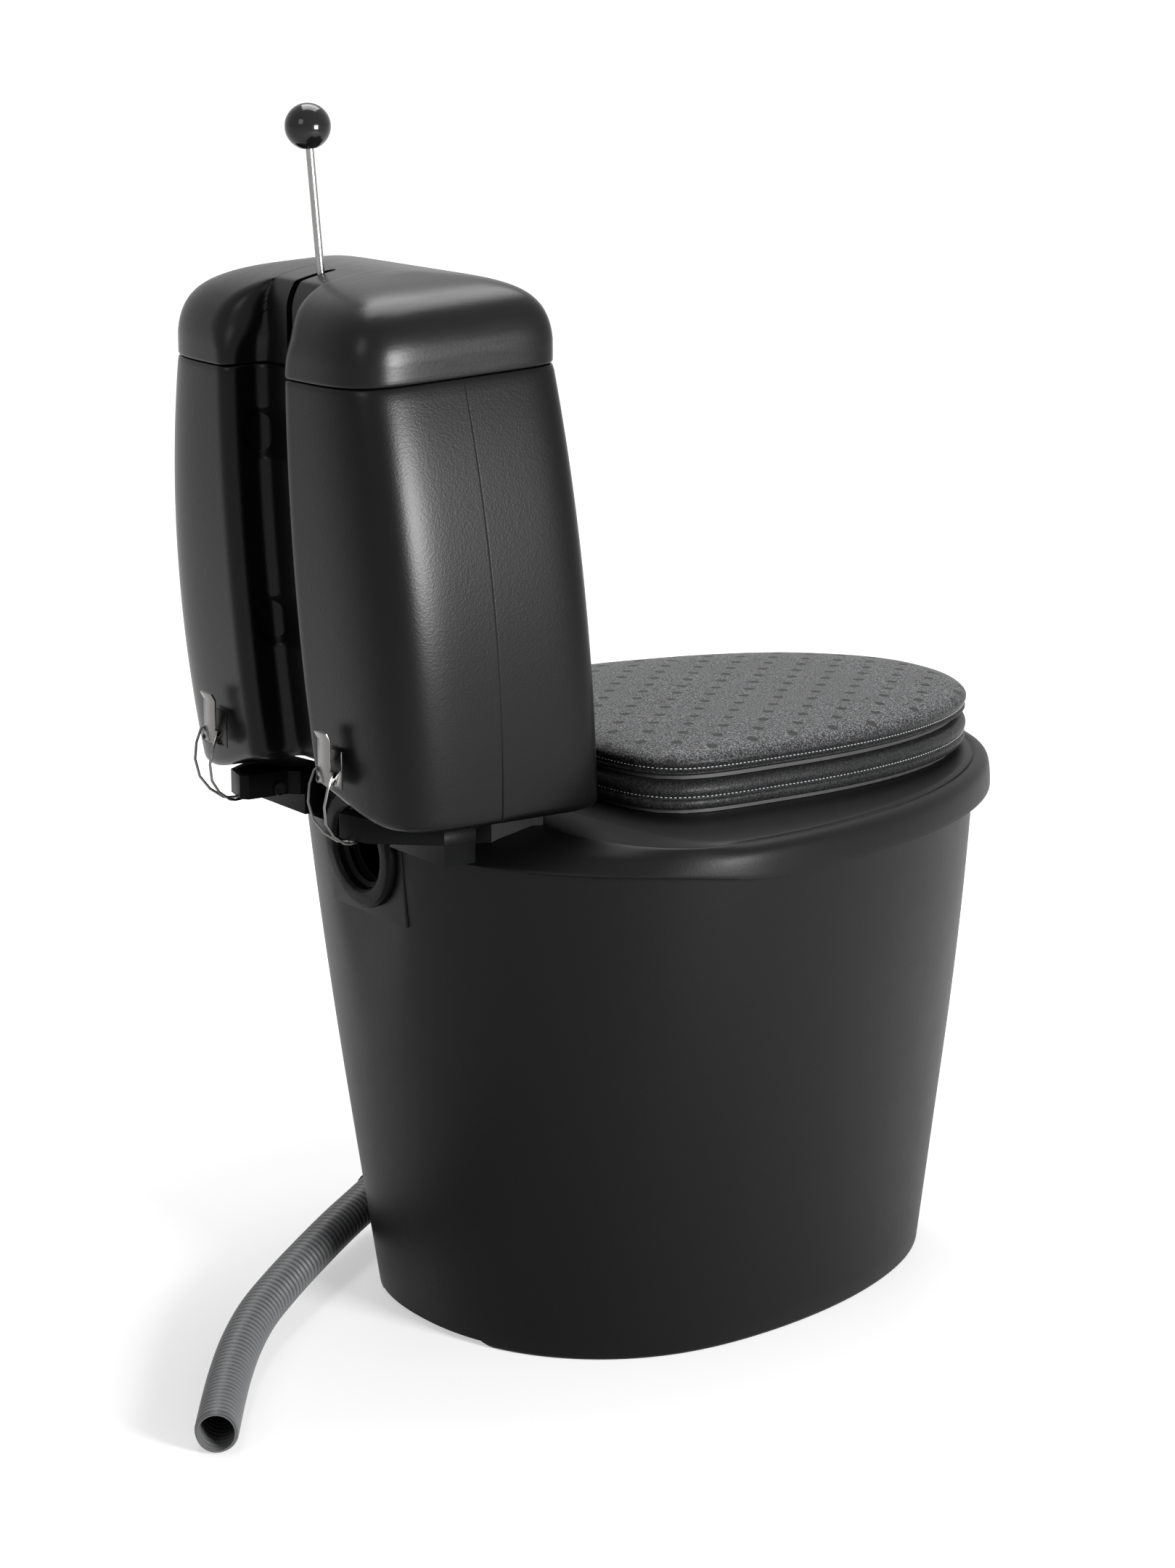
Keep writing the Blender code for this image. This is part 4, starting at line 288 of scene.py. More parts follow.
def dotted_leatherette():
    """Upholstery: pebbled sides, and a top with small pits and darker oval dots on a diamond grid; pale
    specks are painted sheen, laid mostly on the top, where the light falls, so the top is painted
    lighter than the sides.
    """
    finish = Finish("leatherette", Specular_IOR_Level=0.10)
    place = finish.place()
    top = place.part(2).ramp(DOT_LEVEL - 0.013, DOT_LEVEL + 0.004)
    along = place.part(0) / DOT_PITCH
    across = place.part(1) / DOT_PITCH
    near_u = abs((along + across).fraction() - 0.5)
    near_v = abs((along - across).fraction() - 0.5)
    dot = (1 - (near_u * near_u + near_v * near_v).maths("SQRT").ramp(0.13, 0.18)) * top
    grain = finish.cells(place, 0.0017, 0.3)
    pebble = finish.cells(place, 0.0030, 0.4)
    speck = finish.noise(place, 0.0016, 3.0, 0.7)
    slow = finish.noise(place, 0.09, 3.0)
    # Pale specks are painted highlight: strong on the top, faint on the sides, and none on the dots.
    light = speck.ramp(0.44, 0.64) * (top * 0.90 + 0.10) * (1 - dot * 0.96)
    base = finish.mix(slow, grey(0.004, 0.04), grey(0.007, 0.04))
    finish.colour(finish.mix(light * 0.85, base, grey(0.150, 0.03)))
    finish.rough(slow * 0.06 + dot * 0.04 + grain * 0.10 + 0.36)
    relief = pebble * 0.45 + grain * 0.40 + speck * 0.15 - dot * 1.1
    finish.bump(relief, 0.00045)
    return finish.material


def thread():
    """Twisted polyester sewing thread."""
    finish = Finish("thread", Roughness=0.55, Specular_IOR_Level=0.35)
    place = finish.place()
    strand = finish.noise(place, 0.0006)
    finish.colour(finish.mix(strand, grey(0.14, 0.03), grey(0.34, 0.03)))
    finish.bump(strand, 0.00012)
    return finish.material


def plain_board():
    """Underside board of the seat: matt black fibre pressed with a faint mottle."""
    finish = Finish("seat_board_black", Specular_IOR_Level=0.35)
    place = finish.place()
    mottle = finish.noise(place, 0.012, 5.0, 0.65)
    finish.colour(finish.mix(mottle, grey(0.010), grey(0.024)))
    finish.rough(mottle * 0.2 + 0.5)
    finish.bump(mottle, 0.0003)
    return finish.material


def metal(name, level, roughness, warm, stretch, size=0.0010, wear=0.25):
    """Drawn or plated metal: fine lines along one way, with handling marks."""
    finish = Finish(name, Metallic=1.0)
    place = finish.place()
    lines = finish.noise(finish.scaled(place, stretch), size, 3.0, 0.6)
    marks = finish.noise(place, 0.006, 4.0, 0.6)
    tones = (level * (1 - wear), level)
    low, high = ((tone, tone * (1 - warm), tone * (1 - 2 * warm)) for tone in tones)
    finish.colour(finish.mix(marks, low, high))
    finish.rough(lines * 0.14 + marks * 0.10 + (roughness - 0.10))
    finish.bump(lines, 0.00004)
    return finish.material


def rubber():
    """Matt black seal with a faint bloom."""
    finish = Finish("seal_rubber", Specular_IOR_Level=0.3)
    place = finish.place()
    bloom = finish.noise(place, 0.008, 4.0, 0.6)
    finish.colour(finish.mix(bloom, grey(0.010), grey(0.021)))
    finish.rough(bloom * 0.15 + 0.55)
    finish.bump(finish.noise(place, 0.0009), 0.00008)
    return finish.material


def hose_grey():
    """Mid-grey PVC: crests painted paler as rib highlight, valleys painted darker as rib shade, with
    dust over them, and a plain grey bore.
    """
    finish = Finish("hose_pvc", Specular_IOR_Level=0.45)
    place = finish.place()
    crest, inside = finish.attribute("crest"), finish.attribute("inside")
    dust = finish.noise(place, 0.010, 4.0, 0.6)
    fine = finish.noise(place, 0.0012)
    # Rib colour by crest share: painted highlight on the crests, painted shade in the valleys.
    wall = finish.mix(crest, grey(0.012, 0.04), grey(0.078, 0.04))
    dust_over_rib_shading = finish.mix(dust * 0.20, wall, grey(0.120, 0.02))
    finish.colour(finish.mix(inside, dust_over_rib_shading, grey(0.085, 0.02)))
    finish.rough(dust * 0.15 + 0.34)
    finish.bump(fine, 0.00010)
    return finish.material


FINISHES = {
    "casing_plastic": moulded("casing_satin", 0.0022, 0.44, 0.0011, 0.00010, specular=0.10),
    "hopper_plastic": grained_hopper(),
    "lid_plastic": grained_lid(),
    "bracket_plastic": moulded(
        "bracket_satin", 0.0016, 0.42, 0.0009, 0.00010, blue=0.10, specular=0.05
    ),
    "inner_plastic": moulded("inner_satin", 0.002, 0.48, 0.0012, 0.00012, specular=0.06),
    "upholstery": dotted_leatherette(),
    "board": plain_board(),
    "ball_plastic": moulded("ball_gloss", 0.004, 0.13, 0.0100, 0.00001, specular=0.25),
    "stainless_steel": metal("drawn_steel", 0.26, 0.24, 0.015, (3.0, 3.0, 0.05)),
    "nickel_plate": metal("nickel_plate", 0.13, 0.20, 0.03, (1.0, 1.0, 0.2), wear=0.15),
    "rubber": rubber(),
    "hose_plastic": hose_grey(),
}
THREAD = thread()
SHADED_PLATE = metal("shaded_plate", 0.050, 0.30, 0.03, (1.0, 1.0, 0.2), wear=0.20)


# Mesh helpers

HARD_EDGE = 35.0
MERGE_DISTANCE = 0.000002
FLAT_ANGLE = math.radians(0.6)


def finished(piece, slot, body, *replaced):
    """Gives a piece the finish of its slot and its body, and hides the CAD nodes that it stands for."""
    if not piece.data.materials:
        piece.data.materials.append(FINISHES[slot])
    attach(piece, body)
    if replaced:
        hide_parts(*replaced)
    return piece


def new_piece(name, mesh):
    """An object at the origin, with its place in its mesh."""
    piece = bpy.data.objects.new(name, mesh)
    scene.collection.objects.link(piece)
    return piece


def settled(piece):
    """Turns the evaluated piece into a plain mesh without modifiers."""
    graph = bpy.context.evaluated_depsgraph_get()
    mesh = bpy.data.meshes.new_from_object(piece.evaluated_get(graph))
    piece.modifiers.clear()
    piece.data = mesh
    return piece


def shaded(piece, degrees=HARD_EDGE):
    """Smooth shading with hard edges past an angle."""
    mesh = piece.data
    for face in mesh.polygons:
        face.use_smooth = True
    edges = bmesh.new()
    edges.from_mesh(mesh)
    for edge in edges.edges:
        edge.smooth = not edge.is_manifold or edge.calc_face_angle() < math.radians(degrees)
    edges.to_mesh(mesh)
    edges.free()
    return piece


def lofted(name, rings, closed=False):
    """Quads between rings of equal point counts, capped unless closed on themselves."""
    count = len(rings[0])
    points = [tuple(point) for ring in rings for point in ring]
    faces = []
    spans = len(rings) if closed else len(rings) - 1
    for r in range(spans):
        after = (r + 1) % len(rings)
        for i in range(count):
            j = (i + 1) % count
            faces.append((r * count + i, r * count + j, after * count + j, after * count + i))
    if not closed:
        faces.append(tuple(reversed(range(count))))
        faces.append(tuple((len(rings) - 1) * count + i for i in range(count)))
    mesh = bpy.data.meshes.new(name)
    mesh.from_pydata(points, [], faces)
    work = bmesh.new()
    work.from_mesh(mesh)
    bmesh.ops.recalc_face_normals(work, faces=work.faces)
    work.to_mesh(mesh)
    work.free()
    return new_piece(name, mesh)


def joined(target, other, operation):
    """Exact union or cut, after which the other form is deleted."""
    modifier = target.modifiers.new("join", "BOOLEAN")
    modifier.operation = operation
    modifier.solver = "EXACT"
    modifier.object = other
    settled(target)
    bpy.data.objects.remove(other)
    return target


def bevelled(piece, width, segments):
    """Rounds the hard edges, where the width isn't nil."""
    if width:
        modifier = piece.modifiers.new("edge", "BEVEL")
        modifier.width = width
        modifier.segments = segments
        modifier.limit_method = "ANGLE"
        modifier.angle_limit = math.radians(HARD_EDGE)
        settled(piece)
    return piece


def refined(node, edge):
    """A merged, smooth-shaded copy of a CAD node, with its hard edges rounded."""
    piece = new_piece(node + "_form", nodes[node].data.copy())
    piece.data.materials.clear()
    work = bmesh.new()
    work.from_mesh(piece.data)
    bmesh.ops.remove_doubles(work, verts=work.verts, dist=MERGE_DISTANCE)
    bmesh.ops.dissolve_limit(work, angle_limit=FLAT_ANGLE, verts=work.verts, edges=work.edges)
    work.to_mesh(piece.data)
    work.free()
    return shaded(bevelled(piece, edge, 2))


# Pieces that keep the form of their solid

SKINNED = (
    "outer_casing", "seat_deck", "hopper_tank", "hopper_lid", "lever_knob",
    "seat_ring_cushion", "seat_lid_cushion", "drain_hose",
)
ROUNDED_EDGES = {
    "vent_collar": 0.0008,
    "drain_nut": 0.0006,
    "latch_bracket": 0.0014,
    "seat_hinge_base": 0.0008,
    "latch_base": 0.0003,
    "latch_lever": 0.0003,
}
ARM_TOP = 0.506
ARM_LIFT = 0.0085
ARM_GAP = 0.0015
UNDERSIDE = 0.511
UNDERSIDE_HALF = 0.135
UNDERSIDE_SLOPE = 0.29
SAME_LEVEL = 0.0005


def filled_arm(piece):
    """Brings a bracket arm's top up to the hopper's arched underside."""
    for vertex in piece.data.vertices:
        if abs(vertex.co.z - ARM_TOP) < SAME_LEVEL:
            under = UNDERSIDE + UNDERSIDE_SLOPE * max(0.0, UNDERSIDE_HALF - abs(vertex.co.x))
            vertex.co.z += min(max(under - ARM_GAP - vertex.co.z, 0.0), ARM_LIFT)


def dress(part):
    """Finishes a solid's own form, with the rounded edges that it has."""
    node = part["node"]
    kind = node.removesuffix("_left").removesuffix("_right")
    piece = refined(node, ROUNDED_EDGES.get(kind, 0.0))
    finished(piece, part["material_slot"], body_of[node], node)
    if kind == "latch_bracket":
        filled_arm(piece)
    if kind == "latch_base":
        piece.data.materials[0] = SHADED_PLATE


for part in frame["record"]["subparts"]:
    if part["node"] not in SKINNED:
        dress(part)


# Shared outlines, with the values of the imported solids

SKIN_POINTS = 240
CLEARANCE = 0.0003
HOLE = (0.100, 0.130, -0.150, 2.2)


def lerp(low, high, share):
    """A value part of the way from one to another."""
    return low + (high - low) * share


def smooth(value, low, high):
    """0 below one value, 1 above the other, smooth between them."""
    share = np.clip((np.asarray(value, float) - low) / (high - low), 0, 1)
    return share * share * (3 - 2 * share)


def oval(half_width, front, rear, centre, front_power, rear_power, count):
    """Outline whose front and rear halves have their own depth and squareness."""
    angle = 2 * math.pi * np.arange(count) / count
    c, s = np.cos(angle), np.sin(angle)
    depth = np.where(s >= 0, rear - centre, centre - front)
    power = np.where(s >= 0, rear_power, front_power)
    reach = (np.abs(c / half_width) ** power + np.abs(s / depth) ** power) ** (-1 / power)
    return reach * c, centre + reach * s


def at_level(x, y, level):
    """Ring of points from an outline."""
    return np.stack([x, y, np.zeros_like(x) + level], axis=1)


def hole_ring(level, grow, count):
    """Ring of the seat's opening."""
    half_width, half_length, centre, power = HOLE
    front, rear = centre - half_length - grow, centre + half_length + grow
    x, y = oval(half_width + grow, front, rear, centre, power, power, count)
    return at_level(x, y, level)


def between(rings, steps):
    """The given points or rings with steps between them, on a smooth line through all of them."""
    rings = [np.asarray(ring) for ring in rings]
    ends = [2 * rings[0] - rings[1], *rings, 2 * rings[-1] - rings[-2]]
    filled = []
    for before, start, end, after in zip(ends, ends[1:], ends[2:], ends[3:]):
        for i in range(steps):
            t = i / steps
            part = 2 * start + (end - before) * t
            part = part + (2 * before - 5 * start) * t * t + (4 * end - after) * t * t
            part = part + (3 * start - before) * t**3 + (after - 3 * end) * t**3
            filled.append(part / 2)
    return filled + [rings[-1]]


# Casing

CASING_TOP = 0.466
CASING_WALL = 0.006
CASING_FLOOR = 0.008
CASING_HALF = (0.2056, 0.191)
CASING_CENTRE = (0.0201, 0.061)
CASING_FRONT_DEPTH = (0.3567, 0.168)
CASING_REAR_DEPTH = (0.198, 0.078)
CASING_FRONT_POWER = 1.8
CASING_REAR_POWERS = (2.2, 1.95)
CASING_RINGS = 26
FOOT_RADIUS = 0.004
TUCK = 0.009
REAR_TUCK = 0.0035
TUCK_START = 0.20
PANEL_LEAN = math.radians(4.0)
VENT = Vector((0, 0.2705, 0.457))
VENT_HOLE_RADIUS = 0.0418
TONGUE_HALF_WIDTH = 0.062
TONGUE_TOP = 0.516
TONGUE_ROOT = 0.395
TONGUE_PROUD = 0.001
TONGUE_THICKNESS = 0.008
TONGUE_SHOULDER = 0.72
TONGUE_EDGE = 0.0009
PANEL_SOFTNESS = 0.0012
DRAIN_REACH = 0.2240
DRAIN_BOSS = 0.027
DRAIN_HOLE = 0.0175
BOSS_DEPTH = 0.018
DRILL_IN, DRILL_OUT = 0.06, 0.02
VENT_DRILL = Vector((0, 0, 0.022))
ARCH_HALF_WIDTH = 0.095
ARCH_HEIGHT = 0.0055
ARCH_SLANT = 0.012
HOSE_PLUG = 0.038
ROD_SIDES = 48


def panel_y(z):
    """The flat rear panel, which leans back a little."""
    return VENT.y + (z - VENT.z) * math.tan(PANEL_LEAN)


def casing_tuck(z):
    """Share of the upper wall's drawing-in."""
    return (max(z - TUCK_START, 0.0) / (CASING_TOP - TUCK_START)) ** 2


def grown(size, z):
    """A size at the floor that grows evenly with height."""
    return size[0] + size[1] * z


def casing_half_width(z):
    """Half of the tub's width at a level."""
    return grown(CASING_HALF, z) - TUCK * casing_tuck(z)


def casing_centre(z):
    """Where the tub is widest at a level."""
    return grown(CASING_CENTRE, z)


def casing_front(z):
    """The tub's front at a level."""
    return casing_centre(z) - (grown(CASING_FRONT_DEPTH, z) - TUCK * casing_tuck(z))


def casing_rear(z):
    """The tub's rear at a level, before the flat panel."""
    return casing_centre(z) + grown(CASING_REAR_DEPTH, z) - REAR_TUCK * casing_tuck(z)


def soft_limit(values, limit, softness):
    """Holds values under a limit with a rounded change."""
    return -softness * np.logaddexp(-values / softness, -limit / softness)


def casing_ring(z, inset=0.0):
    """Ring of the tub at a level, drawn in by the inset."""
    x, y = oval(
        casing_half_width(z) - inset,
        casing_front(z) + inset,
        casing_rear(z) - inset,
        casing_centre(z),
        CASING_FRONT_POWER,
        lerp(*CASING_REAR_POWERS, z / CASING_TOP),
        SKIN_POINTS,
    )
    return at_level(x, soft_limit(y, panel_y(z) - inset, PANEL_SOFTNESS), z)


def casting(name, outline, low, high, matrix=None, bevel=0.0):
    """An outline in XY drawn out along Z, with rounded edges."""
    piece = lofted(name, [[(x, y, z) for x, y in outline] for z in (low, high)])
    bevelled(piece, bevel, 3)
    if matrix:
        piece.data.transform(matrix)
    return piece


def mirrored(half):
    """An outline from its right half."""
    return half + [(-x, y) for x, y in reversed(half)]


def box_outline(half_width, front, rear):
    """A rectangle about the middle plane."""
    return [(-half_width, front), (half_width, front), (half_width, rear), (-half_width, rear)]


def rod_between(name, radius, start, end):
    """A round rod from one point to another."""
    turn = (end - start).to_track_quat("Z", "Y").to_matrix().to_4x4()
    angles = [2 * math.pi * i / ROD_SIDES for i in range(ROD_SIDES)]
    circle = [(radius * math.cos(a), radius * math.sin(a)) for a in angles]
    return casting(name, circle, 0, (end - start).length, Matrix.Translation(start) @ turn)


def casing_skin():
    """Tapered tub with its foot, vent tongue, drain boss and rear arch."""
    rings = []
    for angle in np.radians((0, 30, 60, 90)):
        inset = FOOT_RADIUS * (1 - math.sin(angle))
        rings.append(casing_ring(FOOT_RADIUS * (1 - math.cos(angle)), inset))
    rings += [casing_ring(z) for z in np.linspace(FOOT_RADIUS, CASING_TOP, CASING_RINGS)[1:]]
    rings += [casing_ring(z, CASING_WALL) for z in (CASING_TOP, 0.35, 0.2, CASING_FLOOR)]
    skin = lofted("casing_skin", rings)
    boss_face, out = drain_face()
    joined(skin, rod_between("boss", DRAIN_BOSS, boss_face - out * BOSS_DEPTH, boss_face), "UNION")
    inner, outer = boss_face - out * DRILL_IN, boss_face + out * DRILL_OUT
    joined(skin, rod_between("drain_hole", DRAIN_HOLE, inner, outer), "DIFFERENCE")
    vent = Matrix.Translation(VENT) @ Matrix.Rotation(math.radians(-90) - PANEL_LEAN, 4, "X")
    top = (TONGUE_TOP - VENT.z) / math.cos(PANEL_LEAN)
    root = (TONGUE_ROOT - VENT.z) / math.cos(PANEL_LEAN)
    shoulder = TONGUE_HALF_WIDTH * TONGUE_SHOULDER
    corner = top - TONGUE_HALF_WIDTH + shoulder
    half = [(TONGUE_HALF_WIDTH, -root), (TONGUE_HALF_WIDTH, -corner), (shoulder, -top)]
    back = TONGUE_PROUD - TONGUE_THICKNESS
    joined(skin, casting("tongue", mirrored(half), back, TONGUE_PROUD, vent, TONGUE_EDGE), "UNION")
    inner, outer = vent @ -VENT_DRILL, vent @ VENT_DRILL
    joined(skin, rod_between("vent_hole", VENT_HOLE_RADIUS, inner, outer), "DIFFERENCE")
    half = [(ARCH_HALF_WIDTH, -0.01), (ARCH_HALF_WIDTH, 0), (ARCH_HALF_WIDTH - ARCH_SLANT, ARCH_HEIGHT)]
    arch = casting("arch", mirrored(half), -0.30, -0.16, Matrix.Rotation(math.radians(90), 4, "X"))
    joined(skin, arch, "DIFFERENCE")
    shaded(skin, 28)
    return finished(skin, "casing_plastic", "casing", "outer_casing")


def drain_face():
    """Outer face of the drain boss and its outward direction, from where the hose starts."""
    first, second = Vector(HOSE_POINTS[0]), Vector(HOSE_POINTS[1])
    along = (second - first).normalized()
    corner = first - along * (HOSE_RADIUS * 2 + CLEARANCE) - along * HOSE_PLUG
    centre = Vector((0, casing_centre(corner.z), corner.z))
    out = (corner - centre).normalized()
    return centre + out * DRAIN_REACH, out


# Deck

DECK_CENTRE = 0.048
DECK_WALL = 0.0045
SKIRT_BOTTOM = 0.459
SKIRT_OUTSET = 0.0165
SHELF = 0.4895
PLINTH = 0.492
RIM = (0.289, 0.380, 0.187)
PLINTH_REAR = 0.137
DECK_REAR = 0.282
SLOPE_START, SLOPE_END = 0.030, 0.150
SHOULDER_HIGH, SHOULDER_LOW = 0.4835, 0.4755
NOTCH_FRONT, NOTCH_REAR = 0.018, 0.302
DECK_OUTLET = (0.064, 0.182, 0.236)


def deck_section(half_width, front, rear, power, level, rear_level=None, flat=0.0):
    """Ring of the cover, which can have another level at its rear."""
    x, y = oval(half_width, -front, rear, DECK_CENTRE, CASING_FRONT_POWER, power, SKIN_POINTS)
    share = smooth(y, SLOPE_START, SLOPE_END)
    z = level + 0 * y if rear_level is None else lerp(level, rear_level, share)
    return np.stack([x, np.minimum(y, panel_y(CASING_TOP) - flat), z], axis=1)


def deck_skin():
    """Cover with its rolled rim, skirt, rear shoulder and plinth."""
    wide = casing_half_width(CASING_TOP) + SKIRT_OUTSET
    front = -casing_front(CASING_TOP) + SKIRT_OUTSET
    rear, seam, wall = DECK_REAR, CASING_TOP + CLEARANCE, DECK_WALL
    ledge, brim = CASING_WALL + SKIRT_OUTSET + 0.003, wall - 0.0005
    inside_wide, inside_front = wide - ledge, front - ledge
    under, high, low = SHELF - wall, SHOULDER_HIGH - wall, SHOULDER_LOW - wall
    rim_wide, rim_front, rim_rear = RIM
    outer = [
        deck_section(wide - 0.002, front - 0.002, rear - 0.002, 1.95, SKIRT_BOTTOM, seam, 0.001),
        deck_section(wide, front, rear, 1.95, SKIRT_BOTTOM + 0.002, seam + 0.002),
        deck_section(wide - 0.0015, front - 0.0015, rear - 0.020, 2.05, 0.480, SHOULDER_LOW),
        deck_section(wide - 0.006, front - 0.006, rear - 0.052, 2.35, 0.4875, SHOULDER_HIGH),
        deck_section(rim_wide, rim_front, rim_rear, 3.1, 0.4905),
        deck_section(rim_wide - 0.004, rim_front - 0.006, rim_rear - 0.008, 3.1, SHELF),
        deck_section(rim_wide - 0.007, rim_front - 0.010, PLINTH_REAR, 3.3, PLINTH - 0.0006),
        deck_section(rim_wide - 0.012, rim_front - 0.018, PLINTH_REAR - 0.006, 3.3, PLINTH),
    ]
    rings = between(outer, 4)
    for level, grow in ((PLINTH, 0.008), (PLINTH - 0.0015, 0.006), (under, 0.006)):
        rings.append(hole_ring(level, grow, SKIN_POINTS))
    rings += [
        deck_section(rim_wide - 0.012, rim_front - 0.018, PLINTH_REAR - 0.006, 3.3, under),
        deck_section(inside_wide, inside_front, rear - 0.055, 2.35, under - 0.003, high),
        deck_section(inside_wide, inside_front, rear - 0.028, 2.05, under - 0.010, low),
        deck_section(inside_wide, inside_front, rear - 0.0125, 1.95, seam, seam, 0.008),
        deck_section(wide - wall, front - wall, rear - 0.0065, 1.95, seam, seam, 0.005),
        deck_section(wide - brim, front - brim, rear - 0.0045, 1.95, SKIRT_BOTTOM, seam, 0.003),
    ]
    skin = lofted("deck_skin", rings, closed=True)
    behind = box_outline(TONGUE_HALF_WIDTH + 0.002, panel_y(CASING_TOP) - NOTCH_FRONT, NOTCH_REAR)
    joined(skin, casting("notch", behind, CASING_TOP - 0.02, PLINTH + 0.02), "DIFFERENCE")
    joined(skin, casting("outlet", box_outline(*DECK_OUTLET), 0.459, 0.512), "DIFFERENCE")
    shaded(skin, 40)
    return finished(skin, "casing_plastic", "deck", "seat_deck")


# Hopper and its lid

HOPPER_BOTTOM = 0.511
SEAM_Z, SEAM_Y = 0.884, 0.379
SEAM_SLOPE = math.tan(math.radians(3.0))
BOTTOM_SIZE = (0.1885, 0.134, 0.3480)
SEAM_SIZE = (0.1675, 0.166, 0.3768)
BULGE = (0.0168, 0.0, 0.0070)
REAR_POWER = 6.0
FRONT_POWER = 9.0
HOPPER_WALL = 0.004
HOPPER_EDGE = 0.008
CHANNEL_HALF = 0.046
CHANNEL_DEPTH = 0.038
CHANNEL_CORNER = 0.012
CHANNEL_LIP = 0.014
CHANNEL_POINTS = 30
WALL_POINTS = 110
TUNNEL_RISE = 0.025
TUNNEL_ACROSS = (0.035, 0.158)
TUNNEL_ALONG = (0.249, 0.259)
TUNNEL_FADE = (0.515, 0.585)
TILT_START = 0.62
HOPPER_OUTLET = (0.060, 0.186, 0.232)
RECESS_HEIGHTS = (0.660, 0.824)
RECESS_HALF = 0.020
RECESS_DEPTH = 0.012
RECESS_FLOOR = 0.004
RECESS_REAR = 0.018
RECESS_SPAN = 0.026
RECESS_SPREAD = 1.1
RECESS_ROUNDNESS = 0.8
FUNNEL_TOP = 0.575
TOP_EDGE = 0.0025
HAIR = 1e-6
DOME = (
    (0.0000, 0.0030),
    (0.0000, 0.0200),
    (0.0025, 0.0360),
    (0.0085, 0.0500),
    (0.0190, 0.0610),
    (0.0350, 0.0690),
    (0.0560, 0.0745),
    (0.0850, 0.0785),
)
CROWN = (0.1000, 0.0795)
LID_WALL = 0.0035
LID_LIP_GAP = 0.0045
LID_LIP_RADIUS = 0.034
LID_CHANNEL_LEAN = 0.015
LEAN_START = 0.048
LID_SOFTENING = (0.004, 0.045)
LID_NARROWING = 0.006
LID_LIP_DEPTH = 0.006
LID_EDGE_DROP = 0.0028
LID_EDGE_WIDTH = 0.0022
SLOT_HALF_WIDTH = 0.00475
SLOT_FRONT = 0.298
SLOT_REAR = 0.40


def seam_z(y):
    """Height of the slanted seam between hopper and lid."""
    return SEAM_Z + (SEAM_Y - y) * SEAM_SLOPE


def hopper_size(z):
    """Half width, front and rear of the hopper at a level."""
    share = (z - HOPPER_BOTTOM) / (SEAM_Z - HOPPER_BOTTOM)
    bulge = 4 * share * (1 - share)
    ends = zip(BOTTOM_SIZE, SEAM_SIZE, BULGE)
    return [lerp(low, high, share) + extra * bulge for low, high, extra in ends]


def spread(points, count):
    """A line of points spaced evenly again."""
    points = np.array(points)
    lengths = np.concatenate([[0], np.cumsum(np.linalg.norm(np.diff(points, axis=0), axis=1))])
    goals = np.linspace(0, lengths[-1], count)
    return np.stack([np.interp(goals, lengths, column) for column in points.T], axis=1)


def grooved(half_width, front, rear, floor, channel_half, lip_radius=CHANNEL_LIP, lip_share=0.5):
    """Section with a vertical channel in its rear: rounded inside corners and lips."""
    centre, reach = (front + rear) / 2, (rear - front) / 2
    depth = max(rear - floor, 0.0015)
    floor = rear - depth
    lip = min(lip_radius, depth * lip_share)
    corner = min(CHANNEL_CORNER, (depth - lip) * 0.9)
    lip_x = channel_half + lip
    lip_y = centre + reach * (1 - (lip_x / half_width) ** REAR_POWER) ** (1 / REAR_POWER)
    corner_x = channel_half - corner
    inner = [(0.0, floor), (corner_x, floor)]
    for angle in np.radians(np.linspace(-90, 0, 9)[1:]):
        inner.append((corner_x + corner * math.cos(angle), floor + corner + corner * math.sin(angle)))
    for angle in np.radians(np.linspace(180, 90, 11)):
        inner.append((lip_x + lip * math.cos(angle), lip_y - lip + lip * math.sin(angle)))
    start = math.atan2((lip_y - centre) / reach, lip_x / half_width)
    angle = np.linspace(start, -math.pi / 2, 400)
    c, s = np.cos(angle), np.sin(angle)
    power = np.where(s >= 0, REAR_POWER, FRONT_POWER)
    scale = (np.abs(c) ** power + np.abs(s) ** power) ** (-1 / power)
    outer = np.stack([half_width * c * scale, centre + reach * s * scale], axis=1)
    half = np.concatenate([spread(inner, CHANNEL_POINTS), spread(outer, WALL_POINTS)[1:]])
    return np.concatenate([half, half[1:-1][::-1] * np.array([-1, 1])])


def hopper_outline(z, inset=0.0, channel=1.0):
    """Section at a level, drawn in by the inset, with a share of the channel's depth."""
    half_width, front, rear = hopper_size(z)
    floor = rear - CHANNEL_DEPTH * channel - inset
    grow = min(inset, HOPPER_WALL)
    return grooved(half_width - inset, front + inset, rear - inset, floor, CHANNEL_HALF + grow)


def tunnel_rise(x, y):
    """Height by which the rear bottom edge is raised for the vent pipe."""
    return TUNNEL_RISE * (1 - smooth(np.abs(x), *TUNNEL_ACROSS)) * smooth(y, *TUNNEL_ALONG)


def hopper_ring(z, inset=0.0, channel=1.0, fade=0.0, seam_offset=None):
    """Hopper section with the raised rear edge, strap recesses and the slanted seam."""
    flat = hopper_outline(z, inset, channel)
    rise = tunnel_rise(flat[:, 0], flat[:, 1]) * (1 - fade)
    lifted = hopper_outline(z + TUNNEL_RISE, inset, channel)
    share = (rise / TUNNEL_RISE)[:, None]
    plan = flat * (1 - share) + lifted * share
    level = z + rise
    plan = plan + recess_shift(plan, z, inset)
    tilt = smooth(z, TILT_START, SEAM_Z) * (SEAM_Y - plan[:, 1]) * SEAM_SLOPE
    if seam_offset is not None:
        level = seam_z(plan[:, 1]) + seam_offset
        tilt = 0
    return np.stack([plan[:, 0], plan[:, 1], level + tilt], axis=1)


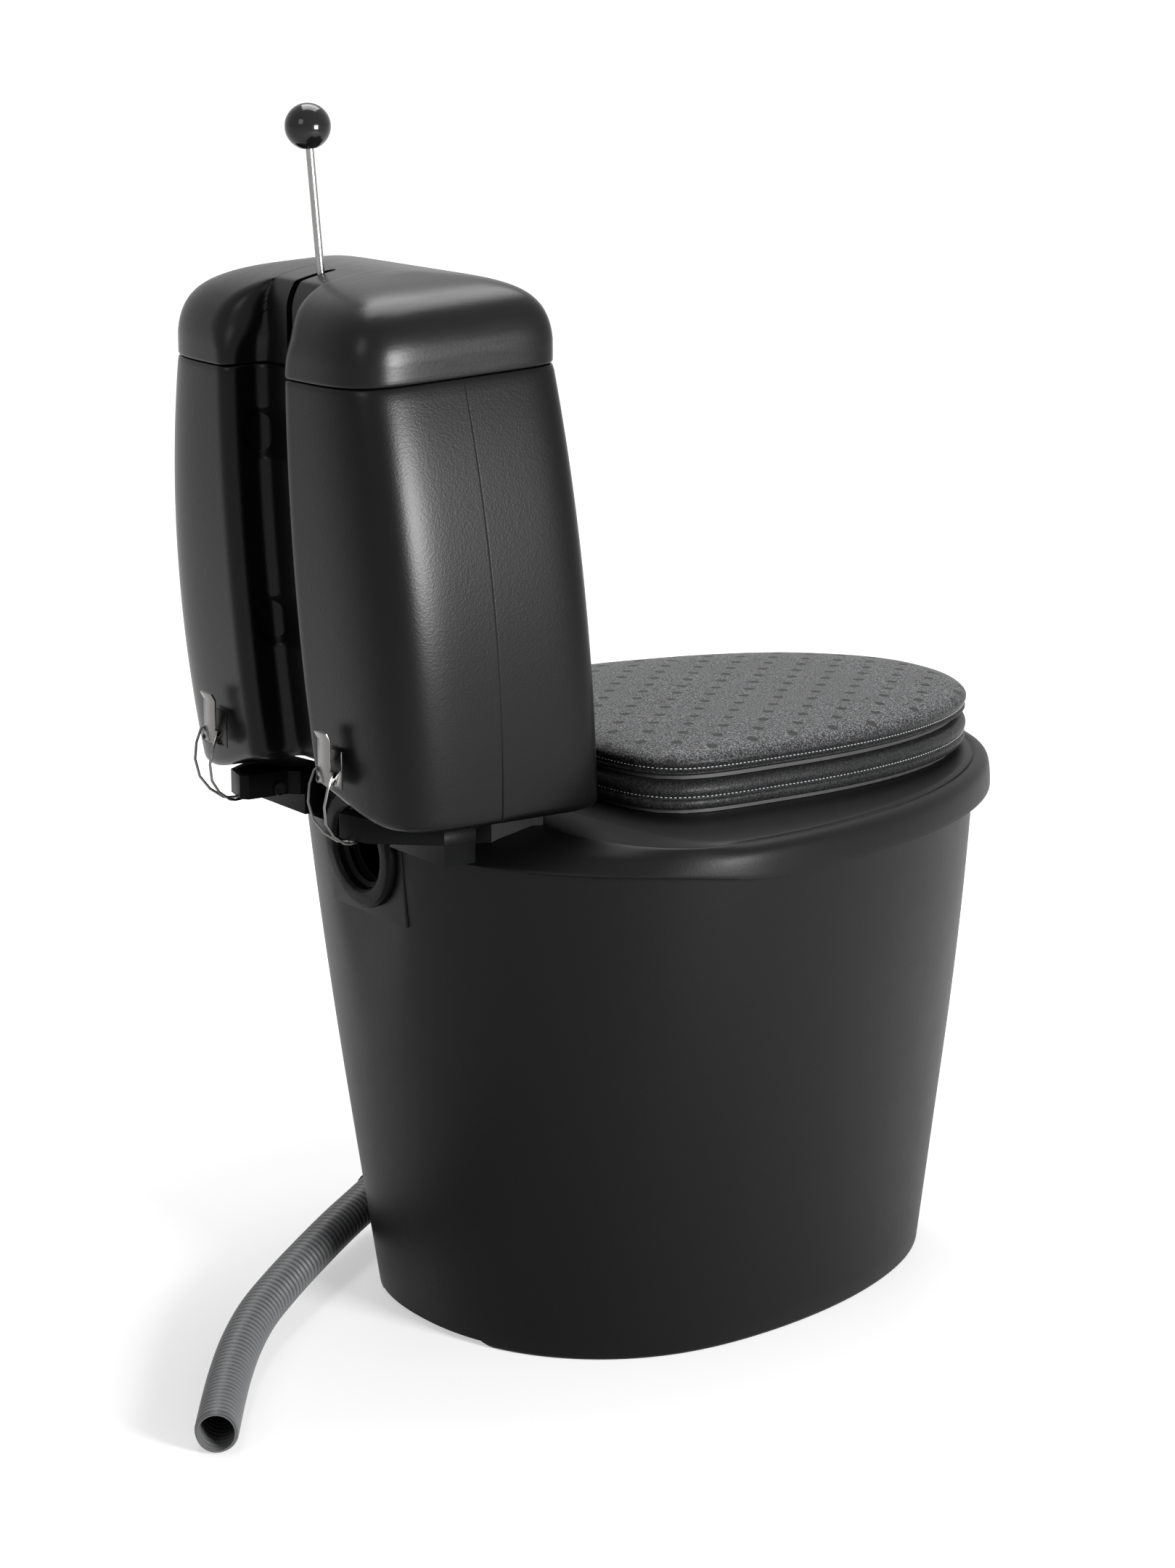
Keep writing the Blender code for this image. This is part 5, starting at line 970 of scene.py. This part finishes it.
def recess_shift(plan, z, inset):
    """Pushes the channel's walls outwards where a strap recess is."""
    if inset:
        return 0 * plan
    rear = hopper_size(z)[2]
    x, y = plan.T
    in_channel = (np.abs(x) < CHANNEL_HALF + CHANNEL_LIP) & (y < rear + 0.002)
    along = np.roll(plan, -1, axis=0) - np.roll(plan, 1, axis=0)
    along /= np.linalg.norm(along, axis=1)[:, None]
    forward, sideways = np.abs(along.T)
    beyond = np.maximum(y - (rear - RECESS_REAR - RECESS_HALF), 0)
    push = np.zeros_like(x)
    for height in RECESS_HEIGHTS:
        distance = np.hypot(beyond, z - height)
        bowl = np.clip(1 - (distance / (RECESS_HALF * RECESS_SPREAD)) ** 2, 0, 1)
        push = np.maximum(push, bowl**RECESS_ROUNDNESS)
    depth = lerp(RECESS_FLOOR, RECESS_DEPTH, smooth(sideways, 0.2, 0.95)) * push * in_channel
    direction = np.stack([np.where(x >= 0, sideways, -sideways), -forward], axis=1)
    return direction * depth[:, None]


def hopper_skin():
    """Blow-moulded hopper: soft edges, channel, strap recesses and the raised rear edge."""
    rings = []
    for inset, channel in ((0.072, 0.0), (0.060, 0.15), (0.046, 0.35), (0.032, 0.6), (0.018, 0.85)):
        rings.append(hopper_ring(HOPPER_BOTTOM, inset, channel))
    for angle in np.radians(np.linspace(0, 90, 7)):
        inset = HOPPER_EDGE * (1 - math.sin(angle))
        rise = HOPPER_EDGE * (1 - math.cos(angle))
        rings.append(hopper_ring(HOPPER_BOTTOM + rise, inset + HAIR))
    levels = list(np.linspace(0.525, 0.630, 10))
    for height in RECESS_HEIGHTS:
        levels += list(np.linspace(height - RECESS_SPAN, height + RECESS_SPAN, 27))
    levels += list(np.linspace(0.694, 0.790, 9)) + list(np.linspace(0.855, 0.878, 4))
    for z in sorted(levels):
        rings.append(hopper_ring(z, fade=float(smooth(z, *TUNNEL_FADE))))
    for angle in np.radians(np.linspace(20, 90, 5)):
        inset = TOP_EDGE * (1 - math.cos(angle)) + HAIR
        drop = TOP_EDGE * (math.sin(angle) - 1) - CLEARANCE / 2
        rings.append(hopper_ring(SEAM_Z, inset, seam_offset=drop))
    rings.append(hopper_ring(SEAM_Z, HOPPER_WALL, seam_offset=-CLEARANCE / 2))
    rings += [hopper_ring(z, HOPPER_WALL, fade=1.0) for z in (0.80, 0.72, 0.65, FUNNEL_TOP)]
    for z, half_width, front, rear in ((0.548, 0.110, 0.160, 0.262), (0.517, 0.074, 0.172, 0.242)):
        plan = grooved(half_width, front, rear, rear, CHANNEL_HALF)
        rings.append(at_level(plan[:, 0], plan[:, 1], z))
    skin = lofted("hopper_skin", rings)
    joined(skin, casting("outlet", box_outline(*HOPPER_OUTLET), 0.491, 0.531), "DIFFERENCE")
    shaded(skin, 50)
    return finished(skin, "hopper_plastic", "deck", "hopper_tank")


def dome_ring(inset, height, wall=0.0):
    """Lid section at a height over the seam, whose channel softens towards the top."""
    half_width, front, rear = hopper_size(SEAM_Z)
    lean = LID_CHANNEL_LEAN * float(np.clip((height - LEAN_START) / (CROWN[1] - LEAN_START), 0, 1)) ** 2
    floor = rear - CHANNEL_DEPTH - lean
    soft = float(smooth(height, *LID_SOFTENING))
    plan = grooved(
        half_width - inset - wall,
        front + inset + wall,
        rear - inset - wall,
        floor - wall,
        CHANNEL_HALF + wall - LID_NARROWING * soft,
        lerp(CHANNEL_LIP, LID_LIP_RADIUS, soft),
        lerp(0.5, 0.9, soft),
    )
    return np.stack([plan[:, 0], plan[:, 1], seam_z(plan[:, 1]) + height], axis=1)


def lid_skin():
    """Domed lid: soft shoulders, a channel that runs out at the top, and the lever's slot."""
    lip = HOPPER_WALL + LID_LIP_GAP
    rings = [dome_ring(max(i, 0.0), h) for i, h in reversed(between((*DOME, CROWN), 5))]
    for angle in np.radians(np.linspace(15, 90, 4)):
        level = DOME[0][1] - LID_EDGE_DROP * math.sin(angle)
        rings.append(dome_ring(0, level, LID_EDGE_WIDTH * (1 - math.cos(angle))))
    rings += [dome_ring(0, CLEARANCE / 2, lip), dome_ring(0, -LID_LIP_DEPTH, lip + 0.0004)]
    rings += [dome_ring(0, -LID_LIP_DEPTH, lip + LID_WALL), dome_ring(0, LID_LIP_DEPTH, lip + LID_WALL)]
    rings += [dome_ring(i, h - LID_WALL, LID_WALL + 0.0005) for i, h in DOME[1::2]]
    rings += [dome_ring(CROWN[0], CROWN[1] - LID_WALL, LID_WALL)]
    skin = lofted("lid_skin", rings)
    half = SLOT_HALF_WIDTH
    turn = np.linspace(0, math.pi, 17)
    outline = [(-half, SLOT_REAR), (half, SLOT_REAR)]
    outline += [(half * math.cos(a), SLOT_FRONT - half * math.sin(a)) for a in turn]
    joined(skin, casting("slot", outline, SEAM_Z - 0.020, SEAM_Z + 0.150), "DIFFERENCE")
    shaded(skin, 50)
    return finished(skin, "lid_plastic", "hopper_lid", "hopper_lid")


# Cushions

SEAT_HALF = 0.196
SEAT_FRONT = -0.368
SEAT_REAR = 0.0945
SEAT_CENTRE = -0.060
SEAT_POWERS = (2.12, 5.2)
BOARD_TOP = 0.4958
RING_TOP = 0.5226
LID_BOTTOM = 0.5267
LID_STITCH = 0.533
LID_EDGE = 0.545
LID_TOP = 0.556
RING_STITCH = 0.507
PAD_POINTS = 480
CUSHION_PINCH = 0.003
PUCKER_REACH = 0.0055
PUCKER_DEPTH = 0.00022
FOLD_DEPTH = 0.0010
LARGEST_PUCKER = 0.0006
REAR_CORNER = (0.150, 0.080, 0.022)
FOAM_WAVES = 7
FULL_TURN = 6.28


def pad_ring(level, inset):
    """Ring of the seat's outline."""
    front, rear = SEAT_FRONT + inset, SEAT_REAR - inset
    x, y = oval(SEAT_HALF - inset, front, rear, SEAT_CENTRE, *SEAT_POWERS, PAD_POINTS)
    return at_level(x, y, level)


def waves(angle, seed, count, low, high):
    """Sum of seeded sine waves round a ring, about 1 high."""
    draw = np.random.default_rng(seed)
    total = np.zeros_like(angle)
    for _ in range(count):
        height = draw.uniform(0.4, 1.0)
        total += height * np.sin(angle * draw.integers(low, high) + draw.uniform(0, FULL_TURN))
    return total / math.sqrt(count)


def puckered(rings, seam_level, seed):
    """Small gathers beside a sewn seam, deeper at the rear corners."""
    corner_x, corner_y, corner_size = REAR_CORNER
    changed = []
    for ring in rings:
        x, y, z = ring.T
        angle = np.arctan2(y - SEAT_CENTRE, x)
        near = np.exp(-(((z - seam_level) / PUCKER_REACH) ** 2))
        corner = np.exp(-(((np.abs(x) - corner_x) ** 2 + (y - corner_y) ** 2) / corner_size**2))
        gather = waves(angle, seed, 6, 90, 150) * PUCKER_DEPTH * (1 + 2.5 * corner)
        slow = waves(angle, seed + 1, 5, 5, 14) * PUCKER_DEPTH * 1.6
        fold = corner * FOLD_DEPTH * waves(angle, seed + 2, 3, 60, 85)
        shift = np.minimum(near * (gather + fold) + slow * near, LARGEST_PUCKER)
        out = ring[:, :2] - np.array([0, SEAT_CENTRE])
        out /= np.linalg.norm(out, axis=1)[:, None]
        moved = ring.copy()
        moved[:, :2] += out * shift[:, None]
        changed.append(moved)
    return changed


def lid_pad():
    """Padded lid: drawn in at its topstitched seam, rolled edge and crowned top."""
    bottom = [(LID_BOTTOM, 0.016), (LID_BOTTOM, 0.007), (LID_BOTTOM + 0.0022, 0.0020)]
    bottom += [(LID_STITCH - 0.0028, 0.0010), (LID_STITCH - 0.0006, CUSHION_PINCH + 0.0006)]
    top = [(LID_STITCH + 0.0004, CUSHION_PINCH + 0.0008), (LID_STITCH + 0.0022, 0.0014)]
    top += [(LID_STITCH + 0.0070, 0.0), (LID_EDGE - 0.0010, 0.0030), (LID_EDGE + 0.0032, 0.0100)]
    top += [(LID_TOP - 0.0044, 0.024), (LID_TOP - 0.0018, 0.055), (LID_TOP - 0.0006, 0.090)]
    top += [(LID_TOP, 0.130)]
    rings = [pad_ring(level, inset) for level, inset in between(bottom, 3) + between(top, 4)]
    pad = lofted("lid_pad", puckered(rings, LID_STITCH + 0.001, 11))
    top_relief(pad, LID_EDGE, 0.00045, 21)
    shaded(pad, 70)
    finished(pad, "upholstery", "seat_lid", "seat_lid_cushion")


def top_relief(pad, start, depth, seed):
    """Slow unevenness of the foam under the cover."""
    mesh = pad.data
    points = np.zeros(len(mesh.vertices) * 3)
    mesh.vertices.foreach_get("co", points)
    points = points.reshape(-1, 3)
    draw = np.random.default_rng(seed)
    wave = np.zeros(len(points))
    for _ in range(FOAM_WAVES):
        way = draw.uniform(-1, 1, 2)
        way = way / np.linalg.norm(way) * draw.uniform(25, 70)
        wave += np.sin(points[:, 0] * way[0] + points[:, 1] * way[1] + draw.uniform(0, FULL_TURN))
    points[:, 2] -= depth * (1 + wave / 4) * smooth(points[:, 2], start, start + 0.008)
    mesh.vertices.foreach_set("co", points.ravel())
    mesh.update()


def ring_pad():
    """Padded ring with a seam round its side, rolled into the opening."""
    low = BOARD_TOP + CLEARANCE
    outside = [(low, 0.012), (low, 0.006), (low + 0.0025, 0.0016), (RING_STITCH - 0.0030, 0.0006)]
    outside += [(RING_STITCH - 0.0004, CUSHION_PINCH)]
    upper = [(RING_STITCH + 0.0006, CUSHION_PINCH), (RING_STITCH + 0.0028, 0.0006)]
    upper += [(RING_TOP - 0.0075, 0.0), (RING_TOP - 0.0022, 0.0030), (RING_TOP - 0.0002, 0.0095)]
    upper += [(RING_TOP, 0.018)]
    rings = [pad_ring(level, inset) for level, inset in between(outside, 3) + between(upper, 4)]
    rings = puckered(rings, RING_STITCH, 31)
    hole = [(RING_TOP, 0.014), (RING_TOP - 0.0012, 0.006), (RING_TOP - 0.006, 0.0012)]
    hole += [(low + 0.006, 0.0012), (low, 0.0040)]
    rings += [hole_ring(level, grow, PAD_POINTS) for level, grow in between(hole, 3)]
    pad = lofted("ring_pad", rings, closed=True)
    shaded(pad, 70)
    finished(pad, "upholstery", "deck", "seat_ring_cushion")


STITCH_PITCH = 0.0042
STITCH_LENGTH = 0.0027
THREAD_WIDTH = 0.00085


def stitch_tree():
    """Geometry nodes: short thread stitches along a line, laid along it."""
    group = bpy.data.node_groups.new("topstitch", "GeometryNodeTree")
    sizes = dict.fromkeys(("Pitch", "Stitch", "Thread"), "Float")
    ports = {"Line": "Geometry", **sizes, "Finish": "Material"}
    for label, kind in ports.items():
        group.interface.new_socket(label, in_out="INPUT", socket_type="NodeSocket" + kind)
    group.interface.new_socket("Stitches", in_out="OUTPUT", socket_type="NodeSocketGeometry")
    tree = Nodes(group)
    line, pitch, stitch, width, colour = (tree.node("NodeGroupInput", output=label) for label in ports)
    path = tree.node("GeometryNodeMeshToCurve", {}, {"Mesh": line})
    even = tree.node("GeometryNodeResampleCurve", {"mode": "LENGTH"}, {"Curve": path, "Length": pitch})
    bead = tree.node("GeometryNodeMeshUVSphere", {}, {"Segments": 6, "Rings": 5, "Radius": 0.5})
    along = tree.node("GeometryNodeInputTangent")
    turn = tree.node("FunctionNodeAlignRotationToVector", {"axis": "X"}, {"Vector": along})
    size = tree.node("ShaderNodeCombineXYZ", {}, {0: stitch, 1: width, 2: width})
    sockets = {"Points": even, "Instance": bead, "Rotation": turn, "Scale": size}
    placed = tree.node("GeometryNodeInstanceOnPoints", {}, sockets)
    real = tree.node("GeometryNodeRealizeInstances", {}, {"Geometry": placed})
    dyed = tree.node("GeometryNodeSetMaterial", {}, {"Geometry": real, "Material": colour})
    tree.join(dyed, group.nodes.new("NodeGroupOutput").inputs[0])
    return group


STITCH_TREE = stitch_tree()


def topstitch(name, level, inset, body):
    """Stitches round a pad's side at a level."""
    ring = [tuple(point) for point in pad_ring(level, inset)]
    mesh = bpy.data.meshes.new(name)
    mesh.from_pydata(ring, [(i, (i + 1) % len(ring)) for i in range(len(ring))], [])
    piece = new_piece(name, mesh)
    modifier = piece.modifiers.new("stitches", "NODES")
    modifier.node_group = STITCH_TREE
    values = {"Pitch": STITCH_PITCH, "Stitch": STITCH_LENGTH, "Thread": THREAD_WIDTH, "Finish": THREAD}
    for item in STITCH_TREE.interface.items_tree:
        if item.name in values:
            modifier[item.identifier] = values[item.name]
    settled(piece)
    return finished(piece, "upholstery", body)


SHAFT_AXIS = Vector((0, 0.276, 0.600))
KNOB_CENTRE = Vector((0, 0.318, 1.088))


def ball_knob():
    """Turned ball with a flat foot round the rod."""
    low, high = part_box("lever_knob")
    radius = (high.x - low.x) / 2
    turn = (KNOB_CENTRE - SHAFT_AXIS).to_track_quat("Z", "Y").to_matrix().to_4x4()
    spots = np.linspace(0, 2 * math.pi, 64, endpoint=False)
    rings = []
    for angle in np.radians(np.linspace(-68, 88, 40)):
        wide, level = radius * math.cos(angle), radius * math.sin(angle)
        rings.append([(wide * math.cos(a), wide * math.sin(a), level) for a in spots])
    ball = lofted("ball_knob", rings)
    ball.data.transform(Matrix.Translation(KNOB_CENTRE) @ turn)
    shaded(ball, 40)
    return finished(ball, "ball_plastic", "dispenser", "lever_knob")


# Hose

HOSE_RADIUS = 0.019
HOSE_BORE = 0.0158
HOSE_POINTS = (
    (0.2020, 0.1604, 0.0430),
    (0.1697, 0.2053, 0.0400),
    (0.1260, 0.2626, 0.0355),
    (0.0833, 0.3163, 0.0310),
    (0.0395, 0.3662, 0.0270),
    (-0.0075, 0.4094, 0.0235),
    (-0.0563, 0.4479, 0.0205),
    (-0.1082, 0.4846, 0.0195),
    (-0.1690, 0.5256, 0.0195),
)
RIB_PITCH = 0.0080
RIB_DEPTH = 0.0017
RIB_STEPS = 7
RIB_SHARPNESS = 0.62
PLAIN_END = 0.004
BORE_RELIEF = 0.0004
HOSE_SIDES = 40


def ribbed_hose():
    """Tube with helical ribs, a smooth bore and a cut end."""
    first, second = Vector(HOSE_POINTS[0]), Vector(HOSE_POINTS[1])
    plugged = first - (second - first).normalized() * HOSE_PLUG
    route = np.array(between((plugged, *HOSE_POINTS), 24))
    length = np.linalg.norm(np.diff(route, axis=0), axis=1).sum()
    count = int(length / RIB_PITCH * RIB_STEPS)
    path = spread(route, count)
    tangents = np.gradient(path, axis=0)
    tangents /= np.linalg.norm(tangents, axis=1)[:, None]
    side = np.cross(UP, tangents)
    side /= np.linalg.norm(side, axis=1)[:, None]
    rise = np.cross(tangents, side)
    angles = np.linspace(0, 2 * math.pi, HOSE_SIDES, endpoint=False)
    travel = np.linspace(0, length, count)
    phase = travel[:, None] / RIB_PITCH * 2 * math.pi - angles[None, :]
    wave = np.clip(0.5 + RIB_SHARPNESS * np.cos(phase), 0, 1)
    crest = wave * np.clip(np.minimum(travel, length - travel) / PLAIN_END, 0, 1)[:, None]
    turns = np.cos(angles)[:, None] * side[:, None, :] + np.sin(angles)[:, None] * rise[:, None, :]
    outer = path[:, None, :] + (HOSE_RADIUS - RIB_DEPTH * (1 - crest))[:, :, None] * turns
    inner = path[:, None, :] + (HOSE_BORE - BORE_RELIEF * crest)[:, :, None] * turns
    piece = lofted("ribbed_hose", np.concatenate([outer, inner[::-1]]), closed=True)
    # The crest share goes to the finish, which paints rib highlight and shade with it.
    none, all_of_it = np.zeros_like(crest), np.ones_like(crest)
    for name, halves in (("crest", (crest, none)), ("inside", (none, all_of_it))):
        stored = piece.data.attributes.new(name, "FLOAT", "POINT")
        stored.data.foreach_set("value", np.concatenate(halves).ravel().astype(np.float32))
    shaded(piece, 60)
    finished(piece, "hose_plastic", "casing", "drain_hose")


ribbed_hose()
casing_skin()
deck_skin()
hopper_skin()
lid_skin()
lid_pad()
ring_pad()
topstitch("lid_topstitch", LID_STITCH + 0.0014, 0.0016, "seat_lid")
topstitch("ring_topstitch", RING_STITCH + 0.0016, 0.0012, "deck")
ball_knob()


# Floor, world and lamps

WORLD_FILL = 0.55
FLOOR_TONE = 0.36
NEAR_GLOW = 0.49
GLOW_SPREAD = (0.45, 1.10)
FLOOR_REACH = 40


def background_rays(nodes):
    """1 for camera, glossy and transmission rays, which see the white backdrop."""
    seen = nodes.node("ShaderNodeLightPath", output="Is Camera Ray")
    for ray in ("Is Glossy Ray", "Is Transmission Ray"):
        seen = seen.maths("MAXIMUM", nodes.node("ShaderNodeLightPath", output=ray))
    return seen


def white_floor():
    """Sweep that glows white away from the object and keeps its shadow near it."""
    corners = [(x, y, 0) for x, y in box_outline(FLOOR_REACH, -FLOOR_REACH, FLOOR_REACH)]
    mesh = bpy.data.meshes.new("floor")
    mesh.from_pydata(corners, [], [(0, 1, 2, 3)])
    floor = new_piece("floor", mesh)
    paper = Finish("floor_paper", Roughness=1.0, Specular_IOR_Level=0.0, Emission_Strength=1.0)
    paper.link("Base Color", (*grey(FLOOR_TONE), 1))
    length = {"operation": "LENGTH"}
    distance = paper.node("ShaderNodeVectorMath", length, {0: paper.place()}, output="Value")
    glow = distance.ramp(*GLOW_SPREAD, NEAR_GLOW, 1.0)
    paper.link("Emission Color", background_rays(paper) * glow)
    mesh.materials.append(paper.material)


def white_world():
    """World that looks white but lights the object more softly."""
    world = bpy.data.worlds.new("studio")
    world.use_nodes = True
    sky = Nodes(world.node_tree)
    back = sky.tree.nodes["Background"]
    back.inputs["Color"].default_value = (1, 1, 1, 1)
    sockets = {"Value": background_rays(sky), "To Min": WORLD_FILL, "To Max": 1.0}
    sky.join(sky.node("ShaderNodeMapRange", {}, sockets), back.inputs["Strength"])
    scene.world = world


def lamp(name, place, aim, width, height, power):
    """Softbox turned to a point."""
    data = bpy.data.lights.new(name, "AREA")
    data.energy = power
    data.shape = "RECTANGLE"
    data.size, data.size_y = width, height
    light = bpy.data.objects.new(name, data)
    scene.collection.objects.link(light)
    light.matrix_world = aimed(place, aim)


white_floor()
white_world()
lamp("key", CAMERA_PLACE - RIGHT * 2.4 + UP * 1.6, Vector((0, 0, 0.6)), 1.6, 1.6, 38)
lamp("top", UP * 3.2 + FORWARD * 0.8, Vector((0, 0, 0.5)), 1.8, 1.8, 88)
lamp("band", Vector((-2.90, -0.32, 0.97)), Vector((-0.19, 0.26, 0.70)), 0.90, 0.80, 225)

scene.view_settings.view_transform = "Standard"
